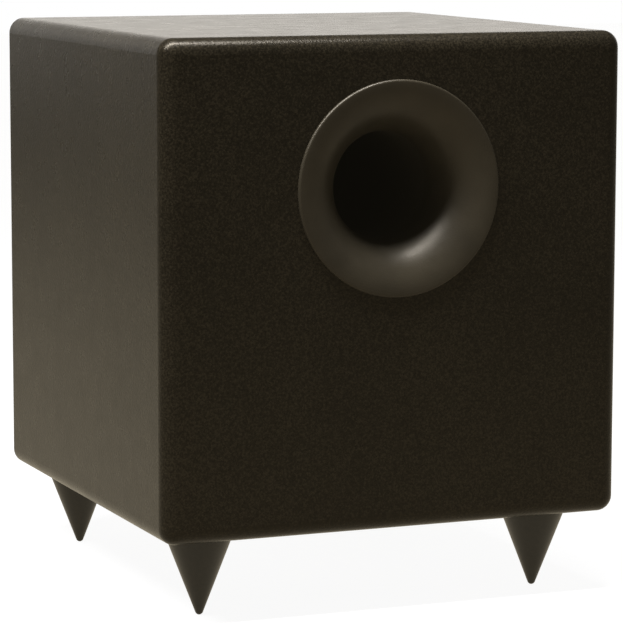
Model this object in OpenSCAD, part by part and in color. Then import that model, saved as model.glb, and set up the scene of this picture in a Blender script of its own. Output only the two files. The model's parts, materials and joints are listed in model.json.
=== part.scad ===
// Active subwoofer: cube cabinet on cone spikes, flared port in front,
// down-firing driver and a plate amplifier at the rear.
// Millimetres, +Z up, front towards -Y, origin on the floor under the middle.

/* [Cabinet] */
// Width of the cabinet
cab_w = 300; // [280:1:400]
// Depth of the cabinet, front face to rear face
cab_d = 300; // [280:1:420]
// Height of the cabinet, without the feet
cab_h = 300; // [290:1:420]
// Thickness of the top, bottom, side and rear panels
panel_t = 15; // [12:0.5:20]
// Thickness of the front baffle
baffle_t = 18; // [16:0.5:25]
// Radius of the rounded outer edges
edge_r = 10; // [4:0.5:11]

/* [Port] */
// Outer diameter of the flare's lip
flare_d = 131; // [120:1:150]
// Inner diameter of the port
port_bore = 65; // [55:1:80]
// Depth of the flare's curve
flare_depth = 34; // [26:1:44]
// Height of the port's axis above the cabinet's underside
port_height = 208; // [205:1:220]
// How far the lip stands out of the baffle
lip_proud = 2; // [1:0.5:4]
// Length of the straight tube
tube_len = 118; // [70:1:130]
// Wall of the straight tube
tube_wall = 2.5; // [2:0.1:4]

/* [Feet] */
// Height of each spike, and of the cabinet above the floor
foot_h = 50; // [35:1:70]
// Diameter of a spike at its top
foot_d = 41; // [30:1:48]
// Radius of the rounded tip
tip_r = 2.5; // [1:0.25:4]
// Distance of the left spikes' axes from the cabinet's left side
foot_inset_left = 35; // [26:1:44]
// Distance of the right spikes' axes from the cabinet's right side
foot_inset_right = 41; // [26:1:44]
// Distance of the front spikes' axes from the cabinet's front
foot_inset_front = 36; // [26:1:44]
// Distance of the rear spikes' axes from the cabinet's rear
foot_inset_rear = 34; // [26:1:44]
// Diameter of the threaded stud
stud_d = 8; // [6:1:10]

/* [Driver] */
// Outer diameter of the driver's flange
flange_d = 210; // [200:1:230]
// Thickness of the flange
flange_t = 6; // [5:0.5:8]
// Height of the basket, flange face to magnet seat
basket_h = 55; // [50:1:70]
// Outer diameter of the paper cone
cone_d = 144; // [130:1:148]
// Diameter of the voice coil former, inside
coil_d = 49.5; // [38:0.5:52]
// Diameter of the magnet
magnet_d = 130; // [110:1:140]
// Thickness of the magnet
magnet_t = 20; // [14:1:26]
// Number of mounting screws
driver_screw_count = 8; // [6:1:10]

/* [Amplifier] */
// Width of the amplifier plate
amp_w = 190; // [186:1:220]
// Height of the amplifier plate
amp_h = 240; // [236:1:256]
// Thickness of the amplifier plate
amp_t = 3; // [2:0.5:4]
// Number of fins on the heat sink
fin_count = 11; // [7:1:14]
// How far the heat sink's fins reach out of its base
fin_reach = 12; // [8:1:20]
// Diameter of each knob
knob_d = 20; // [16:1:24]
// Length of each knob
knob_len = 15; // [12:1:18]

/* [Hidden] */
$fn = 96;

// Small distances shared by every fit
face_gap = 0.1;    // between two faces that are glued or clamped together
slide_gap = 0.3;   // between pieces that move past each other
run_gap = 0.05;    // radial clearance of a shaft or thread
overrun = 1;       // how far a cutter passes the face it cuts

// Heat sink and knobs set how far the object reaches behind the cabinet
sink_base = 4;
knob_lift = 1;
rear_reach = max(sink_base + fin_reach, knob_lift + knob_len);

// Cabinet places
front_y = -(cab_d + lip_proud + rear_reach) / 2 + lip_proud;
rear_y = front_y + cab_d;
mid_y = front_y + cab_d / 2;
base_z = foot_h;
top_z = base_z + cab_h;
inner_x = cab_w / 2 - panel_t;
inner_front = front_y + baffle_t;
inner_rear = rear_y - panel_t;
inner_floor = base_z + panel_t;
inner_roof = top_z - panel_t;

// Port places, measured inwards from the baffle's face
port_z = base_z + port_height;
port_r = port_bore / 2;
tube_r = port_r + tube_wall;
lip_r = flare_d / 2;
lip_round = lip_proud * 0.7;
flare_wall = 3;
flare_rim_w = 5;                    // width of the rim that lies on the baffle
throat_r = lip_r - flare_rim_w;     // outer radius of the flare behind the baffle
socket_len = 16;                    // how deep the tube sits in the flare
socket_wall = 2.5;
tube_start = flare_depth - lip_proud + 2;
tube_end = tube_start + tube_len;
inner_flare_depth = 18;
inner_flare_r = port_r + 14;

// Driver heights, measured upwards from the flange's outer face
gasket_t = 1;
ledge_h = 3;
ledge_out = flange_d / 2 - 12;      // outer radius of the surround's seat
ledge_in = ledge_out - 9;
cutout_r = ledge_out + 0.5;
cone_r = cone_d / 2;
coil_r = coil_d / 2;
former_t = 0.4;
winding_t = 1.05;
pole_r = coil_r - 0.45;
gap_r = coil_r + former_t + winding_t + 0.6;
neck_r = coil_r + former_t;
top_plate_t = 6;
top_plate_r = magnet_d / 2 - 7;
magnet_hole_r = gap_r + 5.2;
yoke_t = 8;
yoke_r = magnet_d / 2 - 5;
vent_r = 8;
seat_r = top_plate_r + 4;           // outer radius of the basket's floor
spider_h = basket_h - 14;
spider_out = seat_r + 0.5;
neck_h = spider_h - 7;
cone_h = ledge_h + face_gap;
winding_len = 20;
winding_mid = basket_h + top_plate_t / 2;
former_top = winding_mid + winding_len / 2 + 2;
driver_depth = basket_h + top_plate_t + magnet_t + yoke_t;
screw_circle_r = flange_d / 2 - 6;
driver_screw_head_r = 4.5;
driver_screw_head_h = 2.8;
driver_screw_r = 2.1;
driver_screw_len = 14;
basket_wall = 3;
basket_legs = 6;
leg_w = 20;
terminal_w = 24;
tab_x = 7;

// Foot places
foot_left = foot_inset_left - cab_w / 2;
foot_right = cab_w / 2 - foot_inset_right;
foot_front = front_y + foot_inset_front;
foot_rear = rear_y - foot_inset_rear;
spike_top = foot_h - slide_gap;
stud_r = stud_d / 2;
stud_seat = 14;                     // depth of the stud in the spike
insert_r = stud_r + 1.8;
insert_flange_r = stud_r + 7;
insert_flange_t = 1.5;
stud_top = inner_floor + insert_flange_t + 4;

// Amplifier places. u runs to the right as seen from behind, v upwards from the plate's middle
plate_z = base_z + cab_h / 2;
plate_in = rear_y - amp_t;
amp_gasket_t = 1;
rim_w = 13;                         // overlap of the plate on the rear panel
plate_corner_r = 4;
amp_screw_inset = 6.5;
knob_u = [-64, -24];
knob_v = 88;
slide_u = [-64, -24];
slide_v = 58;
rca_u = [-68, -44, -20];
rca_v = 32;
led_u = -44;
led_v = 73;
sink_u = 42;
sink_v = 24;
sink_w = 80;
sink_h = 160;
coil_u = -38;
coil_v = -26;
rocker_u = -58;
rocker_v = -92;
inlet_u = 24;
inlet_v = -88;

// Control sizes
pot_r = 8.25;
pot_depth = 9;
bushing_r = 3.5;
bushing_out = 4;
shaft_r = 3;
slot_len = 9;
slot_h = 4.6;
lever_w = 4;
lever_travel = 4;
rca_ring_r = 4.15;
rca_out = 9;
rca_pin_r = 1.6;
rocker_open = [11, 19.6];           // opening of the frame, across and along
rocker_wall = 2;
rocker_body = [rocker_open.x + 2 * rocker_wall, rocker_open.y + 2 * rocker_wall];
rocker_tilt = 8;
trunnion_r = 1.2;                   // stub axles of the rocker
trunnion_len = 1.2;
rocker_pivot = rear_y - 4;
socket_size = [24.4, 16.8];
socket_depth = 17;
drawer_size = [24, 9];
drawer_depth = 24;
floor_t = 1.4;                      // floor of the fuse's trough
inlet_wall = 2;
inlet_body = [socket_size.x + 2 * inlet_wall, socket_size.y + drawer_size.y + 3 * inlet_wall];
socket_v = inlet_body.y / 2 - inlet_wall - socket_size.y / 2;
drawer_v = -inlet_body.y / 2 + inlet_wall + drawer_size.y / 2;
inlet_flange = 2.5;
inlet_depth = 27;
board_gap = 22;
board_t = 1.6;
board_w = 160;
board_h = 86;
board_v = 62;
wire_u = 58;                        // place of the block for the driver's leads
wire_low = 4;
wire_out = 5;
toroid_r = 42;
toroid_h = 34;
capacitor_r = 12.5;
capacitor_h = 34;
amp_depth = board_gap + board_t + capacitor_h;

// Brace: half way between the magnet and the port
brace_t = 12;
brace_z = (base_z + driver_depth + port_z - tube_r - brace_t) / 2;
brace_rib = 34;
brace_rear = rear_y - amp_t - amp_depth - 12;

// Wadding
wad_t = 18;
wad_gap = 4;

// ---------------------------------------------------------------- shared shapes

// Points of an elliptical quarter from (r0, z0) flat to (r1, z1) upright
function quarter_curve(r0, z0, r1, z1, steps = 16) =
    [for (i = [0:steps]) let (t = 90 * i / steps)
        [r1 + (r0 - r1) * (1 - sin(t)), z0 + (z1 - z0) * (1 - cos(t))]];

function reversed(list) = [for (i = [len(list) - 1:-1:0]) list[i]];

// Points of an arc about centre c
function arc(c, r, a0, a1, steps = 8) =
    [for (i = [0:steps]) let (a = a0 + (a1 - a0) * i / steps) c + r * [cos(a), sin(a)]];

// Points along a cubic curve
function cubic(p, steps) =
    [for (i = [0:steps]) let (t = i / steps, s = 1 - t)
        s * s * s * p[0] + 3 * s * s * t * p[1] + 3 * s * t * t * p[2] + t * t * t * p[3]];

function unit(v) = v / norm(v);

// Rectangle with round corners, centred
module round_rect(w, h, r) {
    square([w - 2 * r, h], center = true);
    square([w, h - 2 * r], center = true);
    for (x = [-1, 1], y = [-1, 1])
        translate([x * (w / 2 - r), y * (h / 2 - r)]) circle(r);
}

// Turns a shape whose axis is Z so that its axis is +Y
module along_y() {
    rotate([-90, 0, 0]) children();
}

// Extrudes a shape drawn in X and Z towards +Y, from y to y + len
module slab_y(y, len) {
    translate([0, y + len, 0]) rotate([90, 0, 0]) linear_extrude(len) children();
}

// Puts its children at a place on the rear plate
module on_plate(u, v, y = rear_y) {
    translate([-u, y, plate_z + v]) children();
}

// A round lead along a cubic curve, as one closed tube
module lead(curve, r, steps = 14, sides = 8) {
    path = cubic(curve, steps);
    n = len(path);
    up = [0.31, 0.17, 0.93];
    rings = [for (i = [0:n - 1]) let (
            d = unit(path[min(i + 1, n - 1)] - path[max(i - 1, 0)]),
            a = unit(cross(d, up)),
            b = cross(d, a))
        for (k = [0:sides - 1]) path[i] + r * (cos(360 * k / sides) * a + sin(360 * k / sides) * b)];
    walls = [for (i = [0:n - 2], k = [0:sides - 1]) let (m = (k + 1) % sides)
        [i * sides + m, i * sides + k, (i + 1) * sides + k, (i + 1) * sides + m]];
    first = [for (k = [0:sides - 1]) k];
    last = [for (k = [sides - 1:-1:0]) (n - 1) * sides + k];
    polyhedron(rings, concat([first], walls, [last]), convexity = 4);
}

// ---------------------------------------------------------------- cabinet

// Block with a rounded front face, rounded long edges and a plain back
module rounded_front(w, t, h, r) {
    intersection() {
        union() {
            for (z = [-1, 1], x = [-1, 1]) {
                translate([x * (w / 2 - r), r, z * (h / 2 - r)]) {
                    sphere(r);
                    along_y() cylinder(r = r, h = t);
                }
            }
            for (z = [-1, 1])
                translate([-w / 2 + r, r, z * (h / 2 - r)]) rotate([0, 90, 0])
                    cylinder(r = r, h = w - 2 * r);
            for (x = [-1, 1])
                translate([x * (w / 2 - r), r, -h / 2 + r]) cylinder(r = r, h = h - 2 * r);
            translate([-w / 2 + r, 0, -h / 2 + r]) cube([w - 2 * r, t, h - 2 * r]);
            translate([-w / 2 + r, r, -h / 2]) cube([w - 2 * r, t, h]);
            translate([-w / 2, r, -h / 2 + r]) cube([w, t, h - 2 * r]);
        }
        translate([-w, -overrun, -h]) cube([2 * w, t + overrun, 2 * h]);
    }
}

module front_baffle() {
    color([0.09, 0.085, 0.075])
    difference() {
        translate([0, front_y, base_z + cab_h / 2]) rounded_front(cab_w, baffle_t, cab_h, edge_r);
        translate([0, front_y - overrun, port_z])
            along_y() cylinder(r = throat_r + face_gap, h = baffle_t + 2 * overrun);
    }
}

// Flat panel profile whose two upper corners are rounded, drawn about its own middle
module capped_profile() {
    translate([-cab_w / 2, -panel_t / 2]) square([cab_w, panel_t - edge_r]);
    translate([-cab_w / 2 + edge_r, -panel_t / 2]) square([cab_w - 2 * edge_r, panel_t]);
    for (x = [-1, 1])
        translate([x * (cab_w / 2 - edge_r), panel_t / 2 - edge_r]) circle(edge_r);
}

module top_panel() {
    color([0.09, 0.085, 0.075])
    translate([0, 0, top_z - panel_t / 2])
        slab_y(inner_front, cab_d - baffle_t) intersection() {
            capped_profile();
            square([cab_w + overrun, panel_t], center = true);
        }
}

module foot_places() {
    for (x = [foot_left, foot_right], y = [foot_front, foot_rear])
        translate([x, y, 0]) children();
}

module driver_screw_places() {
    for (i = [0:driver_screw_count - 1])
        translate([0, mid_y, base_z]) rotate((i + 0.5) * 360 / driver_screw_count)
            translate([screw_circle_r, 0, 0]) children();
}

module bottom_panel() {
    color([0.09, 0.085, 0.075])
    difference() {
        translate([0, 0, base_z + panel_t / 2])
            slab_y(inner_front, cab_d - baffle_t) mirror([0, 1]) intersection() {
                capped_profile();
                square([cab_w + overrun, panel_t], center = true);
            }
        translate([0, mid_y, base_z - overrun]) {
            cylinder(r = cutout_r, h = panel_t + 2 * overrun);
            cylinder(r = flange_d / 2 + slide_gap, h = flange_t + gasket_t + overrun);
        }
        foot_places() translate([0, 0, base_z - overrun])
            cylinder(r = insert_r + face_gap, h = panel_t + 2 * overrun);
        driver_screw_places() translate([0, 0, flange_t])
            cylinder(r = driver_screw_r + face_gap, h = panel_t - flange_t - overrun);
    }
}

module side_panel(side) {
    color([0.09, 0.085, 0.075])
    translate([side > 0 ? inner_x : -cab_w / 2, inner_front, inner_floor])
        cube([panel_t, cab_d - baffle_t, cab_h - 2 * panel_t]);
}

module rear_panel() {
    color([0.09, 0.085, 0.075])
    difference() {
        translate([-inner_x, inner_rear, inner_floor])
            cube([2 * inner_x, panel_t, cab_h - 2 * panel_t]);
        on_plate(0, 0, 0) {
            slab_y(inner_rear - overrun, panel_t + 2 * overrun)
                square([amp_w - 2 * rim_w, amp_h - 2 * rim_w], center = true);
            slab_y(plate_in - amp_gasket_t, amp_t + amp_gasket_t + overrun)
                round_rect(amp_w + 2 * slide_gap, amp_h + 2 * slide_gap, plate_corner_r + slide_gap);
            amp_screw_places() slab_y(inner_rear + overrun, panel_t)
                circle(1.7 + face_gap);
        }
    }
}

module window_brace() {
    rear_len = brace_rear - inner_front;
    window = [2 * inner_x - 2 * brace_rib, rear_len - 2 * brace_rib];
    color([0.62, 0.47, 0.32])
    translate([0, inner_front + rear_len / 2, brace_z]) linear_extrude(brace_t) difference() {
        square([2 * inner_x, rear_len], center = true);
        round_rect(window.x, window.y, 18);
    }
}

module damping_pads() {
    low = brace_z + brace_t + wad_gap;
    side_h = inner_roof - wad_t - 2 * wad_gap - low;
    pad_len = brace_rear - inner_front - 2 * wad_gap;
    color([0.85, 0.84, 0.8]) {
        for (x = [-1, 1])
            translate([x * (inner_x - wad_t / 2), inner_front + wad_gap + pad_len / 2, low + side_h / 2])
                cube([wad_t - 2 * face_gap, pad_len, side_h], center = true);
        translate([0, inner_front + wad_gap + pad_len / 2, inner_roof - wad_t / 2])
            cube([2 * inner_x - 2 * wad_gap, pad_len, wad_t - 2 * face_gap], center = true);
    }
}

// ---------------------------------------------------------------- port

module port_flare() {
    mouth_r = lip_r - lip_round;
    inner = quarter_curve(mouth_r, -lip_proud, port_r, flare_depth - lip_proud);
    outer = quarter_curve(throat_r, 1, port_r + flare_wall, flare_depth - lip_proud, 12);
    socket_r = tube_r + face_gap;
    profile = concat(inner,
        [[port_r, tube_start], [socket_r, tube_start], [socket_r, tube_start + socket_len],
            [socket_r + socket_wall, tube_start + socket_len], [socket_r + socket_wall, tube_start - 4]],
        reversed(outer),
        [[throat_r, 0], [lip_r, 0]],
        arc([mouth_r, -lip_proud + lip_round], lip_round, 0, -90, 6));
    color([0.07, 0.07, 0.065])
    translate([0, front_y, port_z]) along_y() rotate_extrude() polygon(profile);
}

module port_tube() {
    color([0.05, 0.05, 0.05])
    translate([0, front_y + tube_start + face_gap, port_z]) along_y() difference() {
        cylinder(r = tube_r, h = tube_len - 2 * face_gap);
        translate([0, 0, -overrun]) cylinder(r = port_r, h = tube_len + 2 * overrun);
    }
}

module port_inner_flare() {
    socket_r = tube_r + face_gap;
    end = tube_end + inner_flare_depth;
    inner = [for (p = quarter_curve(inner_flare_r, end, port_r, tube_end, 12)) p];
    outer = [for (p = quarter_curve(inner_flare_r, end - flare_wall, socket_r + socket_wall,
        tube_end - flare_wall, 12)) p];
    profile = concat(inner,
        [[socket_r, tube_end], [socket_r, tube_end - socket_len],
            [socket_r + socket_wall, tube_end - socket_len]],
        reversed(outer));
    color([0.07, 0.07, 0.065])
    translate([0, front_y, port_z]) along_y() rotate_extrude() polygon(profile);
}

// ---------------------------------------------------------------- feet

module foot_inserts() {
    color([0.72, 0.72, 0.7])
    foot_places() difference() {
        union() {
            translate([0, 0, base_z + overrun]) cylinder(r = insert_r, h = panel_t - overrun + face_gap);
            translate([0, 0, inner_floor + face_gap]) cylinder(r = insert_flange_r, h = insert_flange_t);
        }
        translate([0, 0, base_z]) cylinder(r = stud_r + run_gap, h = panel_t + 2 * insert_flange_t);
    }
}

module foot_stud(x, y) {
    low = spike_top - stud_seat + slide_gap;
    color([0.6, 0.6, 0.62])
    translate([x, y, low]) cylinder(r = stud_r, h = stud_top - low);
}

module foot_spike(x, y) {
    bevel = 0.6;
    // angle of the cone's side, for a side that is tangent to the round tip
    side_a = atan2(foot_d / 2 - tip_r, spike_top - tip_r);
    profile = concat([[0, 0]],
        arc([0, tip_r], tip_r, -85, -side_a, 5),
        [[foot_d / 2, spike_top - bevel], [foot_d / 2 - bevel, spike_top], [0, spike_top]]);
    color([0.1, 0.095, 0.08])
    translate([x, y, 0]) difference() {
        rotate_extrude() polygon(profile);
        translate([0, 0, spike_top - stud_seat]) cylinder(r = stud_r + run_gap, h = stud_seat + overrun);
    }
}

// ---------------------------------------------------------------- driver

// Revolves a profile of radius and height about the driver's axis
module driver_turned(profile) {
    translate([0, mid_y, base_z]) rotate_extrude() polygon(profile);
}

module driver_disc(r, h, low, hole = 0) {
    translate([0, mid_y, base_z + low]) difference() {
        cylinder(r = r, h = h);
        if (hole > 0) translate([0, 0, -overrun]) cylinder(r = hole, h = h + 2 * overrun);
    }
}

module driver_basket() {
    wall_top = basket_h - 7;
    flange_r = flange_d / 2;
    profile = [[ledge_in, ledge_h], [ledge_out, ledge_h], [ledge_out, 0], [flange_r, 0],
        [flange_r, flange_t], [ledge_out - 3, flange_t], [seat_r, wall_top], [seat_r, basket_h],
        [gap_r + 1, basket_h], [gap_r + 1, basket_h - basket_wall],
        [seat_r - basket_wall, basket_h - basket_wall], [seat_r - basket_wall, wall_top],
        [ledge_out - 3 - basket_wall, flange_t + 0.6], [ledge_in, flange_t]];
    shelf = spider_h - 3;
    slope = (ledge_out - 3 - seat_r) / (wall_top - flange_t);
    window_low = flange_t + 4;
    window_h = shelf - 4 - window_low;
    mid_r = (ledge_out + seat_r) / 2;
    window_w = 2 * PI * mid_r / basket_legs - leg_w;
    color([0.12, 0.12, 0.12])
    difference() {
        union() {
            driver_turned(profile);
            // shelf that carries the spider
            driver_turned([[seat_r - 6, shelf], [seat_r + slope * (wall_top - shelf) - 1.5, shelf],
                [seat_r + slope * (wall_top - shelf) - 2.5, shelf + 2], [seat_r - 6, shelf + 2]]);
        }
        for (i = [0:basket_legs - 1])
            translate([0, mid_y, base_z]) rotate(i * 360 / basket_legs)
                translate([seat_r - 8, -window_w / 2, window_low]) cube([60, window_w, window_h]);
        driver_screw_places() translate([0, 0, -overrun])
            cylinder(r = driver_screw_r + 0.4, h = flange_t + 2 * overrun);
    }
}

module driver_gasket() {
    color([0.15, 0.15, 0.15])
    difference() {
        driver_disc(flange_d / 2 - 0.5, gasket_t - 2 * face_gap, flange_t + face_gap, cutout_r + 1);
        driver_screw_places() translate([0, 0, flange_t])
            cylinder(r = driver_screw_r + 0.4, h = gasket_t + overrun);
    }
}

module driver_screws() {
    color([0.05, 0.05, 0.05])
    driver_screw_places() difference() {
        union() {
            translate([0, 0, -driver_screw_head_h])
                cylinder(r = driver_screw_head_r, h = driver_screw_head_h - face_gap);
            translate([0, 0, -0.5]) cylinder(r = driver_screw_r, h = driver_screw_len);
        }
        translate([0, 0, -driver_screw_head_h - overrun]) cylinder(r = 2.3, h = 2 + overrun, $fn = 6);
    }
}

module surround_ring() {
    color([0.08, 0.08, 0.08])
    driver_disc(ledge_out - slide_gap, ledge_h - 1.3, 0, ledge_in + 3);
}

// Half roll of rubber between the cone and the basket
module driver_surround() {
    foot_t = 1;
    low = ledge_h - face_gap - foot_t;
    roll_in = cone_r + 1;
    roll_out = ledge_in + 1.5;
    roll_c = [(roll_in + roll_out) / 2, low + foot_t / 2];
    roll_r = (roll_out - roll_in) / 2;
    outer_a = asin(foot_t / 2 / (roll_r + foot_t / 2));
    inner_a = asin(foot_t / 2 / (roll_r - foot_t / 2));
    profile = concat([[cone_r - 3, low + foot_t], [cone_r - 3, low]],
        arc(roll_c, roll_r + foot_t / 2, 180 + outer_a, 360 - outer_a, 24),
        [[ledge_out - slide_gap, low], [ledge_out - slide_gap, low + foot_t]],
        arc(roll_c, roll_r - foot_t / 2, 360 + inner_a, 180 - inner_a, 24));
    color([0.06, 0.06, 0.06])
    driver_turned(profile);
}

// Height of the cone's outer face at a radius, a shallow curve from rim to neck
function cone_height(r) = cone_h + 1.2
    + (neck_h - cone_h - 1.2) * pow((cone_r - r) / (cone_r - neck_r), 0.85);

module driver_cone() {
    paper = 1.2;
    steps = 10;
    collar = [1, 2.6];
    rim = cone_r - 2.5;
    neck = neck_r + run_gap;
    radii = [for (i = [0:steps]) rim - (rim - neck) * i / steps];
    profile = concat([[cone_r, cone_h], [rim - 1, cone_h]],
        [for (r = radii) [max(r - 1, neck), cone_height(r)]],
        [[neck, neck_h + collar.y], [neck + collar.x, neck_h + collar.y]],
        reversed([for (r = radii) [r + collar.x, cone_height(r) + paper]]),
        [[cone_r, cone_h + paper]]);
    color([0.13, 0.13, 0.125])
    driver_turned(profile);
}

module driver_dust_cap() {
    shell = 0.8;
    cap_r = neck_r + 8;
    sag = 10;
    base = cone_height(cap_r + 1) - shell;
    ball = (cap_r * cap_r + sag * sag) / (2 * sag);
    half = asin(cap_r / ball);
    centre = [0, base - sag + ball];
    profile = concat(arc(centre, ball, -90, -90 + half, 14),
        reversed(arc(centre, ball - shell, -90, -90 + half, 14)));
    color([0.1, 0.1, 0.1])
    driver_turned([for (p = profile) [max(p.x, 0), p.y]]);
}

module voice_coil_former() {
    color([0.75, 0.6, 0.35])
    driver_disc(coil_r + former_t, former_top - neck_h + 2, neck_h - 2, coil_r);
}

module voice_coil_winding() {
    color([0.75, 0.4, 0.2])
    driver_disc(neck_r + run_gap + winding_t, winding_len, winding_mid - winding_len / 2, neck_r + run_gap);
}

module driver_spider() {
    t = 0.6;
    waves = 5;
    r0 = neck_r + face_gap;
    r1 = spider_out - 5;
    steps = 50;
    wave = [for (i = [0:steps]) let (s = i / steps)
        [r0 + 1 + (r1 - r0 - 1) * s, spider_h + 0.9 + 1.5 * sin(360 * waves * s)]];
    profile = concat([[r0, spider_h + 0.9]], wave, [[spider_out, spider_h - 1 + face_gap]],
        [[spider_out, spider_h - 1 + face_gap + t]],
        reversed([for (p = wave) p + [0, t]]), [[r0, spider_h + 0.9 + t]]);
    color([0.85, 0.6, 0.2])
    driver_turned(profile);
}

module driver_top_plate() {
    color([0.55, 0.55, 0.57])
    driver_disc(top_plate_r, top_plate_t - face_gap, basket_h + face_gap, gap_r);
}

module driver_magnet() {
    color([0.16, 0.16, 0.17])
    driver_disc(magnet_d / 2, magnet_t - 2 * face_gap, basket_h + top_plate_t + face_gap, magnet_hole_r);
}

module driver_yoke() {
    plate_low = basket_h + top_plate_t + magnet_t;
    color([0.55, 0.55, 0.57])
    translate([0, mid_y, base_z]) difference() {
        union() {
            translate([0, 0, plate_low]) cylinder(r = yoke_r, h = yoke_t);
            translate([0, 0, basket_h]) cylinder(r = pole_r, h = magnet_t + top_plate_t + overrun);
        }
        translate([0, 0, basket_h - overrun]) cylinder(r = vent_r, h = driver_depth);
    }
}

// Distance of the basket's outer wall from the axis, at a height
function basket_r(h) = seat_r + (ledge_out - 3 - seat_r) * (basket_h - 7 - h) / (basket_h - 7 - flange_t);

terminal_h = spider_h - 11;
terminal_y = basket_r(terminal_h) + 1.5;

module driver_terminals() {
    board = [terminal_w, 2.4, 12];
    color([0.5, 0.35, 0.2])
    translate([0, mid_y, base_z]) {
        difference() {
            union() {
                translate([-board.x / 2, terminal_y, terminal_h]) cube(board);
                translate([-4, terminal_y - 12, terminal_h + 2]) cube([8, 12 + overrun, 8]);
            }
            // the bracket stops at the basket's sloping wall
            rotate_extrude() polygon([[0, flange_t], [basket_r(flange_t) + face_gap, flange_t],
                [basket_r(basket_h - 7) + face_gap, basket_h - 7], [seat_r + face_gap, basket_h],
                [0, basket_h]]);
        }
        for (x = [-tab_x, tab_x])
            translate([x - 3.15, terminal_y + board.y + face_gap, terminal_h + 5]) cube([6.3, 0.8, 15]);
    }
}

// Braided leads from the terminals to the coil
module tinsel_leads() {
    start_y = mid_y + terminal_y - 1.2;
    end_y = mid_y + neck_r + 2.4;
    z = base_z + terminal_h + 4;
    color([0.8, 0.55, 0.3])
    for (x = [-1, 1])
        lead([[x * 9.5, start_y, z], [x * 9.5, start_y - 12, z - 6], [x * 9.5, end_y + 12, z - 8],
            [x * 6, end_y, base_z + neck_h + 3.6]], 0.6);
}

// Insulated leads from the amplifier's board to the driver's tabs
module speaker_leads() {
    board_low = plate_z + board_v - board_h / 2;
    from_y = plate_in - board_gap - board_t - wire_out;
    end_z = board_low + wire_low - face_gap;
    tab_top = [mid_y + terminal_y + 2.4 + 0.5, base_z + terminal_h + 22];
    color([0.6, 0.1, 0.1])
    for (x = [-1, 1])
        lead([[x * tab_x, tab_top[0], tab_top[1]], [x * tab_x, tab_top[0], tab_top[1] + 50],
            [-wire_u + x * 4, from_y, end_z - 70], [-wire_u + x * 4, from_y, end_z]], 1.4, 18);
}

// ---------------------------------------------------------------- amplifier

module amp_screw_places() {
    half = [amp_w / 2 - amp_screw_inset, amp_h / 2 - amp_screw_inset];
    for (x = [-1, 1], k = [-1, -1 / 3, 1 / 3, 1])
        translate([x * half.x, 0, k * half.y]) children();
    for (z = [-1, 1])
        translate([0, 0, z * half.y]) children();
}

module amp_plate() {
    color([0.1, 0.1, 0.1])
    difference() {
        on_plate(0, 0, 0) difference() {
            slab_y(plate_in, amp_t) round_rect(amp_w, amp_h, plate_corner_r);
            amp_screw_places() slab_y(plate_in - overrun, amp_t + 2 * overrun) circle(2.2);
        }
        for (u = knob_u) on_plate(u, knob_v, 0)
            slab_y(plate_in - overrun, amp_t + 2 * overrun) circle(bushing_r + face_gap);
        for (u = slide_u) on_plate(u, slide_v, 0)
            slab_y(plate_in - overrun, amp_t + 2 * overrun) square([slot_len, slot_h], center = true);
        for (u = rca_u) on_plate(u, rca_v, 0)
            slab_y(plate_in - overrun, amp_t + 2 * overrun) circle(rca_ring_r + 0.4);
        on_plate(led_u, led_v, 0)
            slab_y(plate_in - overrun, amp_t + 2 * overrun) circle(1.6);
        on_plate(coil_u, coil_v, 0)
            slab_y(plate_in - overrun, amp_t + 2 * overrun) circle(3.2);
        on_plate(rocker_u, rocker_v, 0) slab_y(plate_in - overrun, amp_t + 2 * overrun)
            square([rocker_body.x + 0.4, rocker_body.y + 0.4], center = true);
        on_plate(inlet_u, inlet_v, 0) slab_y(plate_in - overrun, amp_t + 2 * overrun)
            square([inlet_body.x + 0.4, inlet_body.y + 0.4], center = true);
    }
}

module amp_gasket() {
    color([0.2, 0.2, 0.2])
    on_plate(0, 0, 0) difference() {
        slab_y(plate_in - amp_gasket_t + face_gap, amp_gasket_t - 2 * face_gap)
            round_rect(amp_w - 1, amp_h - 1, plate_corner_r);
        slab_y(plate_in - amp_gasket_t - overrun, amp_gasket_t + 2 * overrun)
            square([amp_w - 2 * rim_w + 2, amp_h - 2 * rim_w + 2], center = true);
        amp_screw_places() slab_y(plate_in - amp_gasket_t - overrun, amp_gasket_t + 2 * overrun) circle(2.2);
    }
}

module amp_screws() {
    color([0.05, 0.05, 0.05])
    on_plate(0, 0, 0) amp_screw_places() difference() {
        union() {
            slab_y(rear_y + face_gap, 2) circle(3.9);
            slab_y(rear_y - 12, 12.5) circle(1.7);
        }
        for (a = [0, 90])
            slab_y(rear_y + 0.9, 2) rotate(a) square([4, 0.9], center = true);
    }
}

module heat_sink() {
    fin_t = 2;
    pitch = (sink_w - fin_t) / (fin_count - 1);
    color([0.06, 0.06, 0.06])
    on_plate(sink_u, sink_v, rear_y) {
        translate([-sink_w / 2, face_gap, -sink_h / 2]) {
            cube([sink_w, sink_base, sink_h]);
            for (i = [0:fin_count - 1])
                translate([i * pitch, sink_base - overrun, 0])
                    cube([fin_t, fin_reach + overrun - face_gap, sink_h]);
        }
    }
}

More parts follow.
